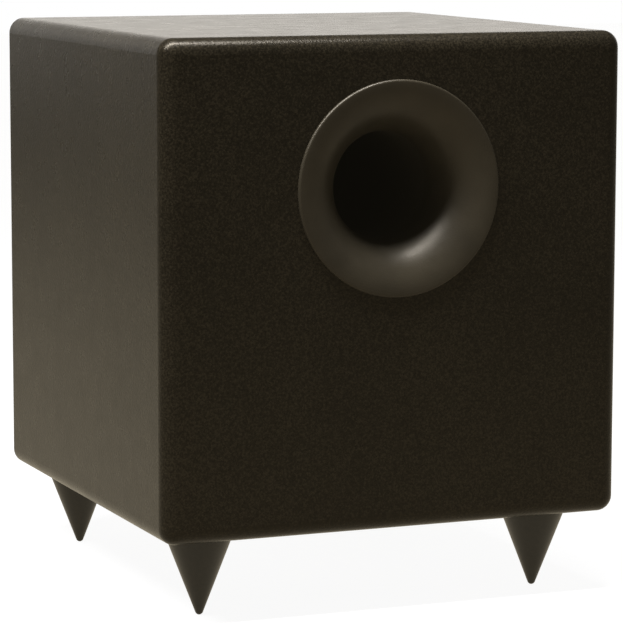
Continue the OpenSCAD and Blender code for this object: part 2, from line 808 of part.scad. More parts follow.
module amp_circuit_board() {
    y = plate_in - board_gap - board_t;
    color([0.08, 0.3, 0.14])
    on_plate(0, board_v, y) {
        translate([-board_w / 2, 0, -board_h / 2]) cube([board_w, board_t, board_h]);
        // standoffs to the plate
        for (x = [-1, 1], z = [-1, 1])
            translate([x * (board_w / 2 - 5), board_t + face_gap, z * (board_h / 2 - 5)])
                along_y() cylinder(r = 3, h = board_gap - 2 * face_gap, $fn = 6);
        // coils, relay and chips on the inner side
        translate([58, -face_gap, 18]) rotate([90, 0, 0]) cylinder(r = 9, h = 12);
        translate([-66, -16 - face_gap, -30]) cube([16, 16, 20]);
        translate([-66, -3 - face_gap, 2]) cube([18, 3, 18]);
        translate([8, -10 - face_gap, -34]) cube([22, 10, 14]);
        // block that takes the driver's leads
        translate([-wire_u - 9, -2 * wire_out, wire_low - board_h / 2])
            cube([18, 2 * wire_out - face_gap, 12]);
    }
}

module power_transformer() {
    color([0.75, 0.65, 0.25])
    on_plate(coil_u, coil_v, plate_in) rotate([90, 0, 0]) {
        // winding on its pad
        translate([0, 0, 2]) difference() {
            cylinder(r = toroid_r, h = toroid_h);
            translate([0, 0, -overrun]) cylinder(r = 14, h = toroid_h + 2 * overrun);
        }
        // pad
        translate([0, 0, face_gap]) difference() {
            cylinder(r = toroid_r - 2, h = 2 - 2 * face_gap);
            translate([0, 0, -overrun]) cylinder(r = 14, h = 2 + 2 * overrun);
        }
        // clamping dish and its nut
        translate([0, 0, toroid_h + 2 + face_gap]) difference() {
            cylinder(r = 24, h = 1.5);
            translate([0, 0, -overrun]) cylinder(r = 3.1, h = 4);
        }
        translate([0, 0, toroid_h + 3.5 + 2 * face_gap]) difference() {
            cylinder(r = 5.8, h = 4.5, $fn = 6);
            translate([0, 0, -overrun]) cylinder(r = 3.1, h = 7);
        }
        // bolt, with its head on the outside of the plate
        translate([0, 0, -amp_t - 0.4]) cylinder(r = 3, h = amp_t + toroid_h + 11);
        translate([0, 0, -amp_t - 4]) cylinder(r = 5.8, h = 4 - face_gap, $fn = 6);
    }
}

module filter_capacitors() {
    color([0.1, 0.12, 0.2])
    for (u = [2, 34])
        on_plate(u, board_v + 12, plate_in - board_gap - board_t - face_gap) rotate([90, 0, 0]) {
            cylinder(r = capacitor_r, h = capacitor_h);
        }
}

module rca_shells() {
    color([0.8, 0.78, 0.7])
    for (u = rca_u) on_plate(u, rca_v, 0) difference() {
        union() {
            slab_y(plate_in - 3, amp_t + 3 + rca_out) circle(rca_ring_r);
            slab_y(rear_y + face_gap, 1.6) circle(6);
        }
        slab_y(plate_in - 3 - overrun, amp_t + 3 + rca_out + 2 * overrun) circle(rca_ring_r - 0.8);
    }
}

module rca_insulators() {
    core_r = rca_ring_r - 0.9;
    color([0.8, 0.1, 0.1])
    for (u = rca_u) on_plate(u, rca_v, 0) difference() {
        union() {
            slab_y(plate_in - 9, 6 - face_gap) circle(6);
            slab_y(plate_in - 4, amp_t + 4 + 7.5) circle(core_r);
        }
        slab_y(rear_y - 4.5, 20) circle(rca_pin_r);
    }
}

module control_pots() {
    color([0.6, 0.6, 0.62])
    for (u = knob_u) on_plate(u, knob_v, 0) {
        difference() {
            union() {
                slab_y(plate_in - pot_depth - face_gap, pot_depth) circle(pot_r);
                slab_y(plate_in - overrun, amp_t + overrun + bushing_out) circle(bushing_r);
            }
            slab_y(plate_in - pot_depth + 2, 40) circle(shaft_r + run_gap);
        }
        // nut on the outside of the plate
        difference() {
            slab_y(rear_y + face_gap, 2) circle(5.4, $fn = 6);
            slab_y(rear_y - overrun, 6) circle(bushing_r + face_gap);
        }
    }
}

module pot_shaft(u) {
    color([0.75, 0.75, 0.77])
    on_plate(u, knob_v, 0)
        slab_y(plate_in - pot_depth + 2.3, rear_y + knob_lift + knob_len - 4 - plate_in + pot_depth - 2.3)
            circle(shaft_r);
}

module knob(u) {
    flutes = 20;
    flute_r = 0.9;
    color([0.07, 0.07, 0.07])
    on_plate(u, knob_v, rear_y + knob_lift) along_y() difference() {
        union() {
            cylinder(r = knob_d / 2, h = knob_len - 1.5);
            translate([0, 0, knob_len - 1.5]) cylinder(r1 = knob_d / 2, r2 = knob_d / 2 - 1.5, h = 1.5);
        }
        translate([0, 0, -overrun]) cylinder(r = 6.4, h = bushing_out + 0.6 + overrun);
        translate([0, 0, -overrun]) cylinder(r = shaft_r + run_gap, h = knob_len - 4 + 0.3 + overrun);
        for (i = [1:flutes - 1])
            rotate(i * 360 / flutes + 90) translate([knob_d / 2 + 0.2, 0, 3])
                cylinder(r = flute_r, h = knob_len, $fn = 24);
        // pointer groove, straight up at rest
        translate([-0.6, -knob_d / 2 - overrun, knob_len - 0.8]) cube([1.2, knob_d / 2 - 2, 2]);
    }
}

module slide_switch_bodies() {
    color([0.65, 0.65, 0.67])
    for (u = slide_u) on_plate(u, slide_v, plate_in - 7 - face_gap)
        translate([-7.5, 0, -4]) cube([15, 7, 8]);
}

module slide_lever(u) {
    color([0.9, 0.9, 0.88])
    on_plate(u, slide_v, plate_in + run_gap)
        translate([lever_travel / 2 - lever_w / 2, 0, -slot_h / 2 + slide_gap])
            cube([lever_w, amp_t + 3.5, slot_h - 2 * slide_gap]);
}

module rocker_frame() {
    color([0.06, 0.06, 0.06])
    on_plate(rocker_u, rocker_v, 0) difference() {
        union() {
            slab_y(rear_y + face_gap, 1.4) round_rect(rocker_body.x + 3, rocker_body.y + 3, 1.5);
            slab_y(rear_y - 18, 18 + overrun) square(rocker_body, center = true);
        }
        slab_y(rear_y - 15, 20) square(rocker_open, center = true);
        rocker_axle(trunnion_r + run_gap, rocker_open.x + 2 * trunnion_len + slide_gap);
    }
}

// Round bar through the rocker's pivot
module rocker_axle(r, len) {
    translate([-len / 2, rocker_pivot, 0]) rotate([0, 90, 0]) cylinder(r = r, h = len);
}

// Paddle drawn level about its pivot, then tipped so that its lower end is pressed in
module power_rocker() {
    len = rocker_open.y / 2;
    edge = [len - 1.1, 6.6];
    profile = concat([[-edge[0], edge[1]], [0, 4.6], edge, [edge[0] - 0.6, 1]],
        arc([0, 0], len - 2.6, -8, -172, 12), [[-edge[0] + 0.6, 1]]);
    width = rocker_open.x - 2 * slide_gap;
    color([0.05, 0.05, 0.05])
    on_plate(rocker_u, rocker_v, 0) {
        translate([0, rocker_pivot, 0]) rotate([-rocker_tilt, 0, 0])
            rotate([0, 90, 0]) translate([0, 0, -width / 2]) linear_extrude(width)
                polygon([for (p = profile) [-p.x, p.y]]);
        rocker_axle(trunnion_r, rocker_open.x + 2 * trunnion_len);
    }
}

module mains_inlet() {
    color([0.05, 0.05, 0.05])
    on_plate(inlet_u, inlet_v, 0) difference() {
        union() {
            slab_y(rear_y + face_gap, inlet_flange) round_rect(inlet_body.x + 9, inlet_body.y + 6, 3);
            slab_y(rear_y - inlet_depth, inlet_depth + overrun) square(inlet_body, center = true);
        }
        // socket with its two cut corners
        translate([0, 0, socket_v]) slab_y(rear_y + inlet_flange - socket_depth, socket_depth + overrun)
            polygon([[-socket_size.x / 2, -socket_size.y / 2], [socket_size.x / 2, -socket_size.y / 2],
                [socket_size.x / 2, socket_size.y / 2 - 5], [socket_size.x / 2 - 5, socket_size.y / 2],
                [-socket_size.x / 2 + 5, socket_size.y / 2], [-socket_size.x / 2, socket_size.y / 2 - 5]]);
        translate([0, 0, drawer_v])
            slab_y(rear_y + inlet_flange - drawer_depth - slide_gap, drawer_depth + 2 * overrun)
                square(drawer_size, center = true);
        for (p = pin_places) translate([p[0], 0, socket_v + p[1]])
            slab_y(rear_y - inlet_depth - overrun, inlet_depth)
                square([pin_size.x + 2 * face_gap, pin_size.y + 2 * face_gap], center = true);
    }
}

// Pins of the mains inlet: the middle one stands higher than the two at its sides
pin_size = [2, 4];
pin_tail = 8;
pin_inset = 0.5;
pin_places = [[-7, -2], [0, 2], [7, -2]];

module inlet_pins() {
    color([0.8, 0.78, 0.7])
    for (p = pin_places) on_plate(inlet_u, inlet_v + socket_v + p[1], 0) translate([p[0], 0, 0])
        slab_y(rear_y - inlet_depth - pin_tail, inlet_depth + pin_tail - pin_inset)
            square(pin_size, center = true);
}

module fuse_drawer() {
    w = drawer_size.x - 2 * slide_gap;
    h = drawer_size.y - 2 * slide_gap;
    face = 2.2;
    side = 1.6;
    end = 1.2;
    face_y = rear_y + inlet_flange;
    color([0.08, 0.08, 0.08])
    on_plate(inlet_u, inlet_v + drawer_v, 0) difference() {
        slab_y(face_y - drawer_depth, drawer_depth) square([w, h], center = true);
        // trough for the fuse, open upwards
        translate([-w / 2 + side, face_y - drawer_depth + end, -h / 2 + floor_t])
            cube([w - 2 * side, drawer_depth - face - end, h]);
        // thumb notch in the face
        slab_y(face_y - 0.9, 2) translate([0, -h / 2]) square([9, 3.4], center = true);
    }
}

// Glass fuse lying along the drawer
module fuse() {
    fuse_r = 2.5;
    cap_len = 5;
    z = inlet_v + drawer_v - (drawer_size.y - 2 * slide_gap) / 2 + floor_t + fuse_r + face_gap;
    color([0.85, 0.85, 0.8])
    on_plate(inlet_u, z, rear_y + inlet_flange - drawer_depth + 1.5) along_y() {
        cylinder(r = fuse_r, h = cap_len);
        translate([0, 0, cap_len + face_gap]) cylinder(r = fuse_r - 0.2, h = 20 - 2 * cap_len - 2 * face_gap);
        translate([0, 0, 20 - cap_len]) cylinder(r = fuse_r, h = cap_len);
    }
}

module status_led() {
    color([0.2, 0.5, 0.9])
    on_plate(led_u, led_v, plate_in - 4) along_y() {
        cylinder(r = 1.5, h = amp_t + 4.6);
        translate([0, 0, amp_t + 4.6]) sphere(1.5);
    }
}

// ---------------------------------------------------------------- assembly

front_baffle();
top_panel();
bottom_panel();
side_panel(-1);  // left_panel
side_panel(1);  // right_panel
rear_panel();
window_brace();
damping_pads();
port_flare();
port_tube();
port_inner_flare();
foot_inserts();
foot_stud(foot_left, foot_front);  // foot_stud_fl
foot_stud(foot_right, foot_front);  // foot_stud_fr
foot_stud(foot_left, foot_rear);  // foot_stud_bl
foot_stud(foot_right, foot_rear);  // foot_stud_br
foot_spike(foot_left, foot_front);  // foot_spike_fl
foot_spike(foot_right, foot_front);  // foot_spike_fr
foot_spike(foot_left, foot_rear);  // foot_spike_bl
foot_spike(foot_right, foot_rear);  // foot_spike_br
driver_basket();
driver_gasket();
driver_screws();
surround_ring();
driver_surround();
driver_cone();
driver_dust_cap();
voice_coil_former();
voice_coil_winding();
driver_spider();
driver_top_plate();
driver_magnet();
driver_yoke();
driver_terminals();
tinsel_leads();
speaker_leads();
amp_plate();
amp_gasket();
amp_screws();
heat_sink();
amp_circuit_board();
power_transformer();
filter_capacitors();
rca_shells();
rca_insulators();
control_pots();
pot_shaft(knob_u[0]);  // volume_shaft
knob(knob_u[0]);  // volume_knob
pot_shaft(knob_u[1]);  // crossover_shaft
knob(knob_u[1]);  // crossover_knob
slide_switch_bodies();
slide_lever(slide_u[0]);  // phase_lever
slide_lever(slide_u[1]);  // mode_lever
rocker_frame();
power_rocker();
mains_inlet();
inlet_pins();
fuse_drawer();
fuse();
status_led();
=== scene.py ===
"""Looks of an active subwoofer: a textured black cabinet on cone spikes, with a flared port in front.

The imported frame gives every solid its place. The classes below dress those solids and model the
pieces whose surface needs more than a solid gives: the flare, the spikes and their threads, the
soft suspension of the driver, the wadding, the leads and the print on the amplifier's plate.
All lengths are in metres, +Z is up and the baffle faces -Y.
"""

import json
import logging
import math
from dataclasses import dataclass, field
from enum import Enum
from typing import Callable, Iterable, Sequence

import bmesh
import bpy
import numpy as np
from mathutils import Matrix, Vector, noise

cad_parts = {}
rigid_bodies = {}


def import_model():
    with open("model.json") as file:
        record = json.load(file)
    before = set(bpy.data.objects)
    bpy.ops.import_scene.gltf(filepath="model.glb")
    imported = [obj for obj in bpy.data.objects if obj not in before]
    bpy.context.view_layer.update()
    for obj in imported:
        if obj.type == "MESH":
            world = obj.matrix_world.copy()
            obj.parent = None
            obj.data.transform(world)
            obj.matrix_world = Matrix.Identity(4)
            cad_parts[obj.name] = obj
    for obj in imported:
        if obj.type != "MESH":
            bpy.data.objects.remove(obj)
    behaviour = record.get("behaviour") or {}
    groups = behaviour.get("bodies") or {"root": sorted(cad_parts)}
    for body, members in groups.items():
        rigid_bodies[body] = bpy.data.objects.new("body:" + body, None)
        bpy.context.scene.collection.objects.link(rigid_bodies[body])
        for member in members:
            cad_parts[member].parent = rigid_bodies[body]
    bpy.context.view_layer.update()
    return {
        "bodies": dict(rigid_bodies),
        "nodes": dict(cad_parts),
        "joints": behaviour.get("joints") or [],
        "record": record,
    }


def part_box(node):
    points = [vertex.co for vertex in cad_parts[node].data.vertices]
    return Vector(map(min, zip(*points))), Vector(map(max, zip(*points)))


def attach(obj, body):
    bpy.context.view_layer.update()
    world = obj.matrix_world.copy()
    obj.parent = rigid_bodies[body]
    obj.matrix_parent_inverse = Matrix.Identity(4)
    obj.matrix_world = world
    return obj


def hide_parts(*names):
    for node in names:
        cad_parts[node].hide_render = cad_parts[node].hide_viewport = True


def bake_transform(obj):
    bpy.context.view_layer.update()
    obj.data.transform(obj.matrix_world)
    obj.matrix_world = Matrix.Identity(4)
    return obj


LOG = logging.getLogger("subwoofer")
MM = 0.001
Colour = tuple[float, float, float]
Point = tuple[float, float]
Profile = list[Point]
Socket = bpy.types.NodeSocket
Piece = bpy.types.Object
Mesh = bmesh.types.BMesh


# ------------------------------------------------------------------ materials


class Graph:
    """A material's node tree, with short calls for the nodes that the finishes use."""

    def __init__(self, name: str) -> None:
        """Starts an empty material that has only its shader.

        Args:
            name: The material's name.
        """
        self.material = bpy.data.materials.new(name)
        self.material.use_nodes = True
        self.tree = self.material.node_tree
        self.shader = next(n for n in self.tree.nodes if n.type == "BSDF_PRINCIPLED")
        self.coords = self.add("ShaderNodeTexCoord").outputs["Object"]

    def add(self, kind: str, **settings: object) -> bpy.types.Node:
        """Adds a node.

        Args:
            kind: The node's type name.
            **settings: Properties of the node.

        Returns:
            The new node.
        """
        made = self.tree.nodes.new(kind)
        for key, value in settings.items():
            setattr(made, key, value)
        return made

    def feed(self, target: Socket, value: object) -> None:
        """Links a socket, or sets it where the value isn't one.

        Args:
            target: The input socket.
            value: An output socket, or a plain value.
        """
        if isinstance(value, Socket):
            self.tree.links.new(value, target)
        else:
            target.default_value = value

    def noise(self, scale: float, detail: float = 2.0, rough: float = 0.5, at: object = None) -> Socket:
        """Fractal noise.

        Args:
            scale: Cells to a metre.
            detail: Number of octaves.
            rough: Share that each finer octave keeps.
            at: Coordinates, or None for the piece's own.

        Returns:
            The noise's value.
        """
        made = self.add("ShaderNodeTexNoise")
        self.feed(made.inputs["Vector"], at or self.coords)
        made.inputs["Scale"].default_value = scale
        made.inputs["Detail"].default_value = detail
        made.inputs["Roughness"].default_value = rough
        return made.outputs["Fac"]

    def cells(self, scale: float, feature: str = "F1", at: object = None) -> Socket:
        """Distance to the nearest of scattered points.

        Args:
            scale: Points to a metre.
            feature: Which distance is measured.
            at: Coordinates, or None for the piece's own.

        Returns:
            The distance.
        """
        made = self.add("ShaderNodeTexVoronoi", feature=feature)
        self.feed(made.inputs["Vector"], at or self.coords)
        made.inputs["Scale"].default_value = scale
        return made.outputs["Distance"]

    def rings(self, scale: float, axis: str = "Z", shape: str = "BANDS", at: object = None) -> Socket:
        """Regular bands or rings.

        Args:
            scale: Density of the bands.
            axis: Direction across the bands, or the rings' axis.
            shape: BANDS or RINGS.
            at: Coordinates, or None for the piece's own.

        Returns:
            The bands' value.
        """
        made = self.add("ShaderNodeTexWave", wave_type=shape)
        if shape == "BANDS":
            made.bands_direction = axis
        else:
            made.rings_direction = axis
        self.feed(made.inputs["Vector"], at or self.coords)
        made.inputs["Scale"].default_value = scale
        return made.outputs["Fac"]

    def shifted(self, offset: Sequence[float], stretch: Sequence[float] = (1, 1, 1)) -> Socket:
        """Object coordinates, moved and stretched.

        Args:
            offset: How far they move.
            stretch: Factor along each axis.

        Returns:
            The new coordinates.
        """
        made = self.add("ShaderNodeMapping")
        self.feed(made.inputs["Vector"], self.coords)
        made.inputs["Location"].default_value = [o * s for o, s in zip(offset, stretch)]
        made.inputs["Scale"].default_value = stretch
        return made.outputs["Vector"]

    def ramp(self, value: Socket, stops: Sequence[tuple[float, Colour]]) -> Socket:
        """Turns a value into a colour.

        Args:
            value: The value.
            stops: Places and colours, from low to high.

        Returns:
            The colour.
        """
        made = self.add("ShaderNodeValToRGB")
        self.feed(made.inputs["Fac"], value)
        points = made.color_ramp.elements
        while len(points) < len(stops):
            points.new(0.5)
        for point, (place, colour) in zip(points, stops):
            point.position = place
            point.color = (*colour, 1.0)
        return made.outputs["Color"]

    def spread(self, value: Socket, low: float, high: float, start: float = 0.0, end: float = 1.0) -> Socket:
        """Maps a value from one range to another.

        Args:
            value: The value.
            low: Result at start.
            high: Result at end.
            start: Lowest value.
            end: Highest value.

        Returns:
            The result.
        """
        made = self.add("ShaderNodeMapRange")
        self.feed(made.inputs["Value"], value)
        for name, number in (("From Min", start), ("From Max", end), ("To Min", low), ("To Max", high)):
            made.inputs[name].default_value = number
        return made.outputs["Result"]

    def math(self, operation: str, first: object, second: object = 0.0) -> Socket:
        """One step of arithmetic on two varying values.

        Args:
            operation: Name of the operation.
            first: The first value.
            second: The second value.

        Returns:
            The result.
        """
        made = self.add("ShaderNodeMath", operation=operation)
        self.feed(made.inputs[0], first)
        self.feed(made.inputs[1], second)
        return made.outputs[0]

    def bump(self, height: Socket, depth: float, strength: float = 1.0) -> None:
        """Adds relief on top of what the shader's normal already has.

        Args:
            height: The relief, from 0 to 1.
            depth: Its depth in metres.
            strength: How much of it shows.
        """
        made = self.add("ShaderNodeBump")
        made.inputs["Strength"].default_value = strength
        made.inputs["Distance"].default_value = depth
        self.feed(made.inputs["Height"], height)
        links = self.shader.inputs["Normal"].links
        if links:
            self.feed(made.inputs["Normal"], links[0].from_socket)
        self.feed(self.shader.inputs["Normal"], made.outputs["Normal"])

    def set(self, **sockets: object) -> None:
        """Sets or links inputs of the shader.

        Args:
            **sockets: Values by socket name, with _ for a space.
        """
        for key, value in sockets.items():
            target = self.shader.inputs[key.replace("_", " ")]
            if isinstance(value, tuple) and len(value) == 3:
                value = (*value, 1.0)
            self.feed(target, value)


def toned(colour: Colour, factor: float) -> Colour:
    """A lighter or darker version of a colour.

    Args:
        colour: The colour.
        factor: What each channel is multiplied by.

    Returns:
        The new colour.
    """
    return tuple(min(1.0, c * factor) for c in colour)


@dataclass(frozen=True)
class Finish:
    """What every finish states: its name, colour and gloss."""

    name: str
    colour: Colour
    rough: float = 0.5

    def material(self) -> bpy.types.Material:
        """Returns the finish's material, made once."""
        found = bpy.data.materials.get(f"finish_{self.name}")
        if found:
            return found
        graph = Graph(f"finish_{self.name}")
        graph.set(Base_Color=self.colour, Roughness=self.rough)
        self.detail(graph)
        return graph.material

    def detail(self, graph: Graph) -> None:
        """Adds the finish's own pattern and relief.

        Args:
            graph: The material being made.
        """
        raise NotImplementedError

    def tones(self, graph: Graph, value: Socket, *stops: tuple[float, float]) -> Socket:
        """Turns a value into shades of the finish's colour.

        Args:
            graph: The material being made.
            value: The value.
            *stops: Places, each with the factor of the colour there.

        Returns:
            The colour.
        """
        return graph.ramp(value, [(place, toned(self.colour, factor)) for place, factor in stops])

    def vary(
        self,
        graph: Graph,
        tone: Socket,
        stops: Sequence[tuple[float, float]],
        patch: Socket,
        less: float,
        more: float,
    ) -> None:
        """Lets colour and roughness wander over the surface.

        Args:
            graph: The material being made.
            tone: The value that the colour follows.
            stops: Places on it, each with the factor of the colour there.
            patch: The value that the roughness follows.
            less: How far the roughness goes below the finish's own.
            more: How far it goes above.
        """
        graph.set(
            Base_Color=self.tones(graph, tone, *stops),
            Roughness=graph.spread(patch, self.rough - less, self.rough + more),
        )


@dataclass(frozen=True)
class TexturedPaint(Finish):
    """Sprayed satin paint with a fine stipple, over board."""

    grain: float = 850.0
    relief: float = 0.00018
    index: float = 1.22
    sheen: Colour = (1.0, 0.88, 0.70)

    def detail(self, graph: Graph) -> None:
        """Stipple, fine sparkle and a slow change of tone."""
        fine = graph.noise(self.grain, 3.0, 0.6)
        blobs = graph.cells(self.grain * 0.8, "SMOOTH_F1")
        stipple = graph.math("ADD", graph.spread(fine, 0, 0.6), graph.spread(blobs, 0.4, 0, 0, 0.9))
        drift = graph.math("MULTIPLY", fine, graph.spread(graph.noise(9.0, 3.0), 0.8, 1.2))
        self.vary(graph, drift, ((0.35, 0.45), (0.5, 1.0), (0.65, 2.2)), graph.noise(60.0, 4.0), 0.05, 0.06)
        graph.set(IOR=self.index, Specular_Tint=self.sheen)
        graph.bump(stipple, self.relief, 0.8)


@dataclass(frozen=True)
class Moulded(Finish):
    """Moulded plastic with a fine spark-eroded grain."""

    grain: float = 1500.0
    relief: float = 0.00004
    index: float = 1.45
    sheen: Colour = (1.0, 1.0, 1.0)

    def detail(self, graph: Graph) -> None:
        """Grain, faint flow marks and handling marks in the gloss."""
        flow = graph.noise(25.0, 4.0, 0.6)
        self.vary(graph, flow, ((0.3, 0.8), (0.7, 1.25)), graph.noise(140.0, 5.0, 0.65), 0.07, 0.09)
        graph.set(IOR=self.index, Specular_Tint=self.sheen)
        graph.bump(graph.noise(self.grain, 2.0), self.relief, 0.5)


@dataclass(frozen=True)
class Lacquered(Finish):
    """Turned metal under black lacquer, with faint tool rings."""

    ring: float = 900.0
    axis: str = "Z"
    index: float = 1.32

    def detail(self, graph: Graph) -> None:
        """Tool rings, orange peel and a thin coat."""
        rings = graph.rings(self.ring, self.axis)
        peel = graph.noise(420.0, 3.0)
        self.vary(graph, peel, ((0.3, 0.75), (0.75, 1.5)), graph.noise(90.0, 5.0, 0.7), 0.06, 0.1)
        graph.set(IOR=self.index, Coat_Weight=0.12, Coat_Roughness=0.22)
        graph.bump(rings, 0.00003, 0.35)
        graph.bump(peel, 0.00005, 0.4)


@dataclass(frozen=True)
class PowderCoat(Finish):
    """Powder coat, coarser than paint, on sheet metal."""

    grain: float = 1200.0
    relief: float = 0.00012

    def detail(self, graph: Graph) -> None:
        """Coarse stipple and worn high spots."""
        peel = graph.cells(self.grain, "SMOOTH_F1")
        slow = graph.noise(30.0, 4.0)
        self.vary(graph, slow, ((0.3, 0.75), (0.7, 1.4)), graph.noise(200.0, 4.0), 0.08, 0.08)
        graph.bump(peel, self.relief, 0.6)


@dataclass(frozen=True)
class BareMetal(Finish):
    """Plated or machined metal with directional marks."""

    stretch: tuple[float, float, float] = (1.0, 1.0, 30.0)
    grain: float = 260.0
    stain: float = 0.8

    def detail(self, graph: Graph) -> None:
        """Tool marks along one axis and a cloudy passivation."""
        marks = graph.noise(self.grain, 4.0, 0.7, graph.shifted((0, 0, 0), self.stretch))
        self.vary(graph, graph.noise(70.0, 4.0), ((0.3, self.stain), (0.7, 1.0)), marks, 0.1, 0.15)
        graph.set(Metallic=1.0)
        graph.bump(marks, 0.00003, 0.4)


@dataclass(frozen=True)
class Rubber(Finish):
    """Soft rubber or foam with a dusty bloom."""

    pores: float = 1800.0
    relief: float = 0.00005

    def detail(self, graph: Graph) -> None:
        """Pores and bloom."""
        bloom = graph.noise(45.0, 5.0, 0.65)
        self.vary(graph, bloom, ((0.35, 1.0), (0.8, 2.0)), bloom, 0.05, 0.12)
        graph.set(Sheen_Weight=0.12, Sheen_Roughness=0.5)
        graph.bump(graph.cells(self.pores), self.relief, 0.5)


@dataclass(frozen=True)
class PressedCone(Finish):
    """Mineral filled cone material, with fibres and faint rings."""

    centre: tuple[float, float, float] = (0.0, 0.0, 0.0)

    def detail(self, graph: Graph) -> None:
        """Fibres and concentric press marks."""
        fibre = graph.noise(500.0, 6.0, 0.75)
        rings = graph.rings(160.0, "Z", "RINGS", graph.shifted([-c for c in self.centre]))
        self.vary(graph, fibre, ((0.35, 0.65), (0.7, 1.6)), fibre, 0.08, 0.12)
        graph.bump(rings, 0.00008, 0.3)
        graph.bump(fibre, 0.00006, 0.5)


@dataclass(frozen=True)
class Cloth(Finish):
    """Woven, resin treated cloth."""

    thread: float = 520.0

    def detail(self, graph: Graph) -> None:
        """Warp, weft and resin patches."""
        weave = graph.math("MAXIMUM", graph.rings(self.thread, "X"), graph.rings(self.thread, "Y"))
        patch = graph.noise(60.0, 4.0)
        self.vary(graph, graph.math("MULTIPLY", weave, patch), ((0.1, 0.55), (0.5, 1.0)), patch, 0.1, 0.1)
        graph.set(Sheen_Weight=0.2, Sheen_Roughness=0.4)
        graph.bump(weave, 0.00012, 0.7)


@dataclass(frozen=True)
class Fibres(Finish):
    """Loose polyester wadding."""

    def detail(self, graph: Graph) -> None:
        """Tangled fibres with soft hollows between them, with painted shade: the colour darkens where the
        relief is low.
        """
        tangle = graph.noise(260.0, 9.0, 0.8)
        # Painted shade: the colour darkens in the hollows, where the relief is low, and also in larger random
        # patches of tone.
        tufts_and_hollow_shade = graph.math("MULTIPLY", tangle, graph.noise(45.0, 4.0))
        graph.set(Base_Color=self.tones(graph, tufts_and_hollow_shade, (0.1, 0.72), (0.4, 1.0)))
        graph.set(Sheen_Weight=0.6, Sheen_Roughness=0.6, Subsurface_Weight=0.15, Subsurface_Scale=0.004)
        graph.bump(tangle, 0.0012, 0.8)


@dataclass(frozen=True)
class Fibreboard(Finish):
    """Raw medium density fibreboard."""

    def detail(self, graph: Graph) -> None:
        """Fine fibres and flecks."""
        fibre = graph.noise(700.0, 6.0, 0.75)
        fleck = graph.math("MULTIPLY", fibre, graph.spread(graph.cells(260.0), 0.7, 1.2))
        self.vary(graph, fleck, ((0.25, 0.62), (0.5, 1.0), (0.75, 1.3)), fibre, 0.05, 0.1)
        graph.bump(fibre, 0.00018, 0.6)


@dataclass(frozen=True)
class Wound(Finish):
    """Wire or tape wound in close turns."""

    turns: float = 600.0
    axis: str = "Z"
    metallic: float = 0.0

    def detail(self, graph: Graph) -> None:
        """Turns side by side, each with its own tone."""
        turns = graph.rings(self.turns, self.axis)
        tone = graph.noise(90.0, 3.0)
        self.vary(graph, graph.math("MULTIPLY", turns, tone), ((0.05, 0.45), (0.45, 1.0)), tone, 0.08, 0.12)
        graph.set(Metallic=self.metallic)
        graph.bump(turns, 0.00018, 0.8)


@dataclass(frozen=True)
class SolderMask(Finish):
    """Circuit board with buried tracks under a green mask."""

    def detail(self, graph: Graph) -> None:
        """Tracks in steps, with pads where they meet."""
        bricks = graph.add("ShaderNodeTexBrick", offset=0.35, squash=0.6)
        graph.feed(bricks.inputs["Vector"], graph.coords)
        bricks.inputs["Scale"].default_value = 90.0
        bricks.inputs["Mortar Size"].default_value = 0.05
        pads = graph.spread(graph.cells(240.0), 1, 0, 0.0, 0.18)
        tracks = graph.math("MAXIMUM", bricks.outputs["Fac"], pads)
        self.vary(graph, tracks, ((0.2, 1.0), (0.9, 2.1)), graph.noise(300.0), 0.06, 0.08)
        graph.bump(tracks, 0.00004, 0.5)


@dataclass(frozen=True)
class Lens(Finish):
    """Small clear lens that glows."""

    glow: float = 2.5

    def detail(self, graph: Graph) -> None:
        """An uneven glow under a clear coat."""
        haze = graph.noise(900.0, 2.0)
        graph.set(
            Emission_Color=self.tones(graph, haze, (0.3, 0.7), (0.7, 1.4)),
            Roughness=graph.spread(haze, self.rough, self.rough + 0.08),
        )
        graph.set(Emission_Strength=self.glow, Coat_Weight=1.0)


@dataclass(frozen=True)
class Ink(Finish):
    """Screen printed ink."""

    def detail(self, graph: Graph) -> None:
        """Uneven cover, as a mesh screen leaves it."""
        cover = graph.noise(2400.0, 3.0)
        self.vary(graph, cover, ((0.25, 0.75), (0.6, 1.0)), cover, 0.05, 0.1)


# ------------------------------------------------------------------ mesh helpers


class Axis(Enum):
    """Directions that turned pieces have their axis along."""

    Y = (0.0, 1.0, 0.0)
    Z = (0.0, 0.0, 1.0)

    def point(self, centre: Vector, radius: float, along: float) -> Vector:
        """The point of a profile in the plane that holds +X.

        Args:
            centre: A point on the axis.
            radius: Distance from the axis.
            along: Distance from the centre along the axis.

        Returns:
            The point.
        """
        return centre + Vector((radius, 0, 0)) + Vector(self.value) * along


def finished(mesh: Mesh, name: str, finish: Finish, crease: float = 32.0) -> Piece:
    """Turns a bmesh into an object at the origin.

    Args:
        mesh: The mesh, which is freed.
        name: Name of the piece.
        finish: Its finish.
        crease: Angle in degrees over which an edge stays sharp.

    Returns:
        The object.
    """
    data = bpy.data.meshes.new(name)
    mesh.to_mesh(data)
    mesh.free()
    data.polygons.foreach_set("use_smooth", [True] * len(data.polygons))
    data.set_sharp_from_angle(angle=math.radians(crease))
    made = bpy.data.objects.new(name, data)
    bpy.context.scene.collection.objects.link(made)
    data.materials.append(finish.material())
    return made


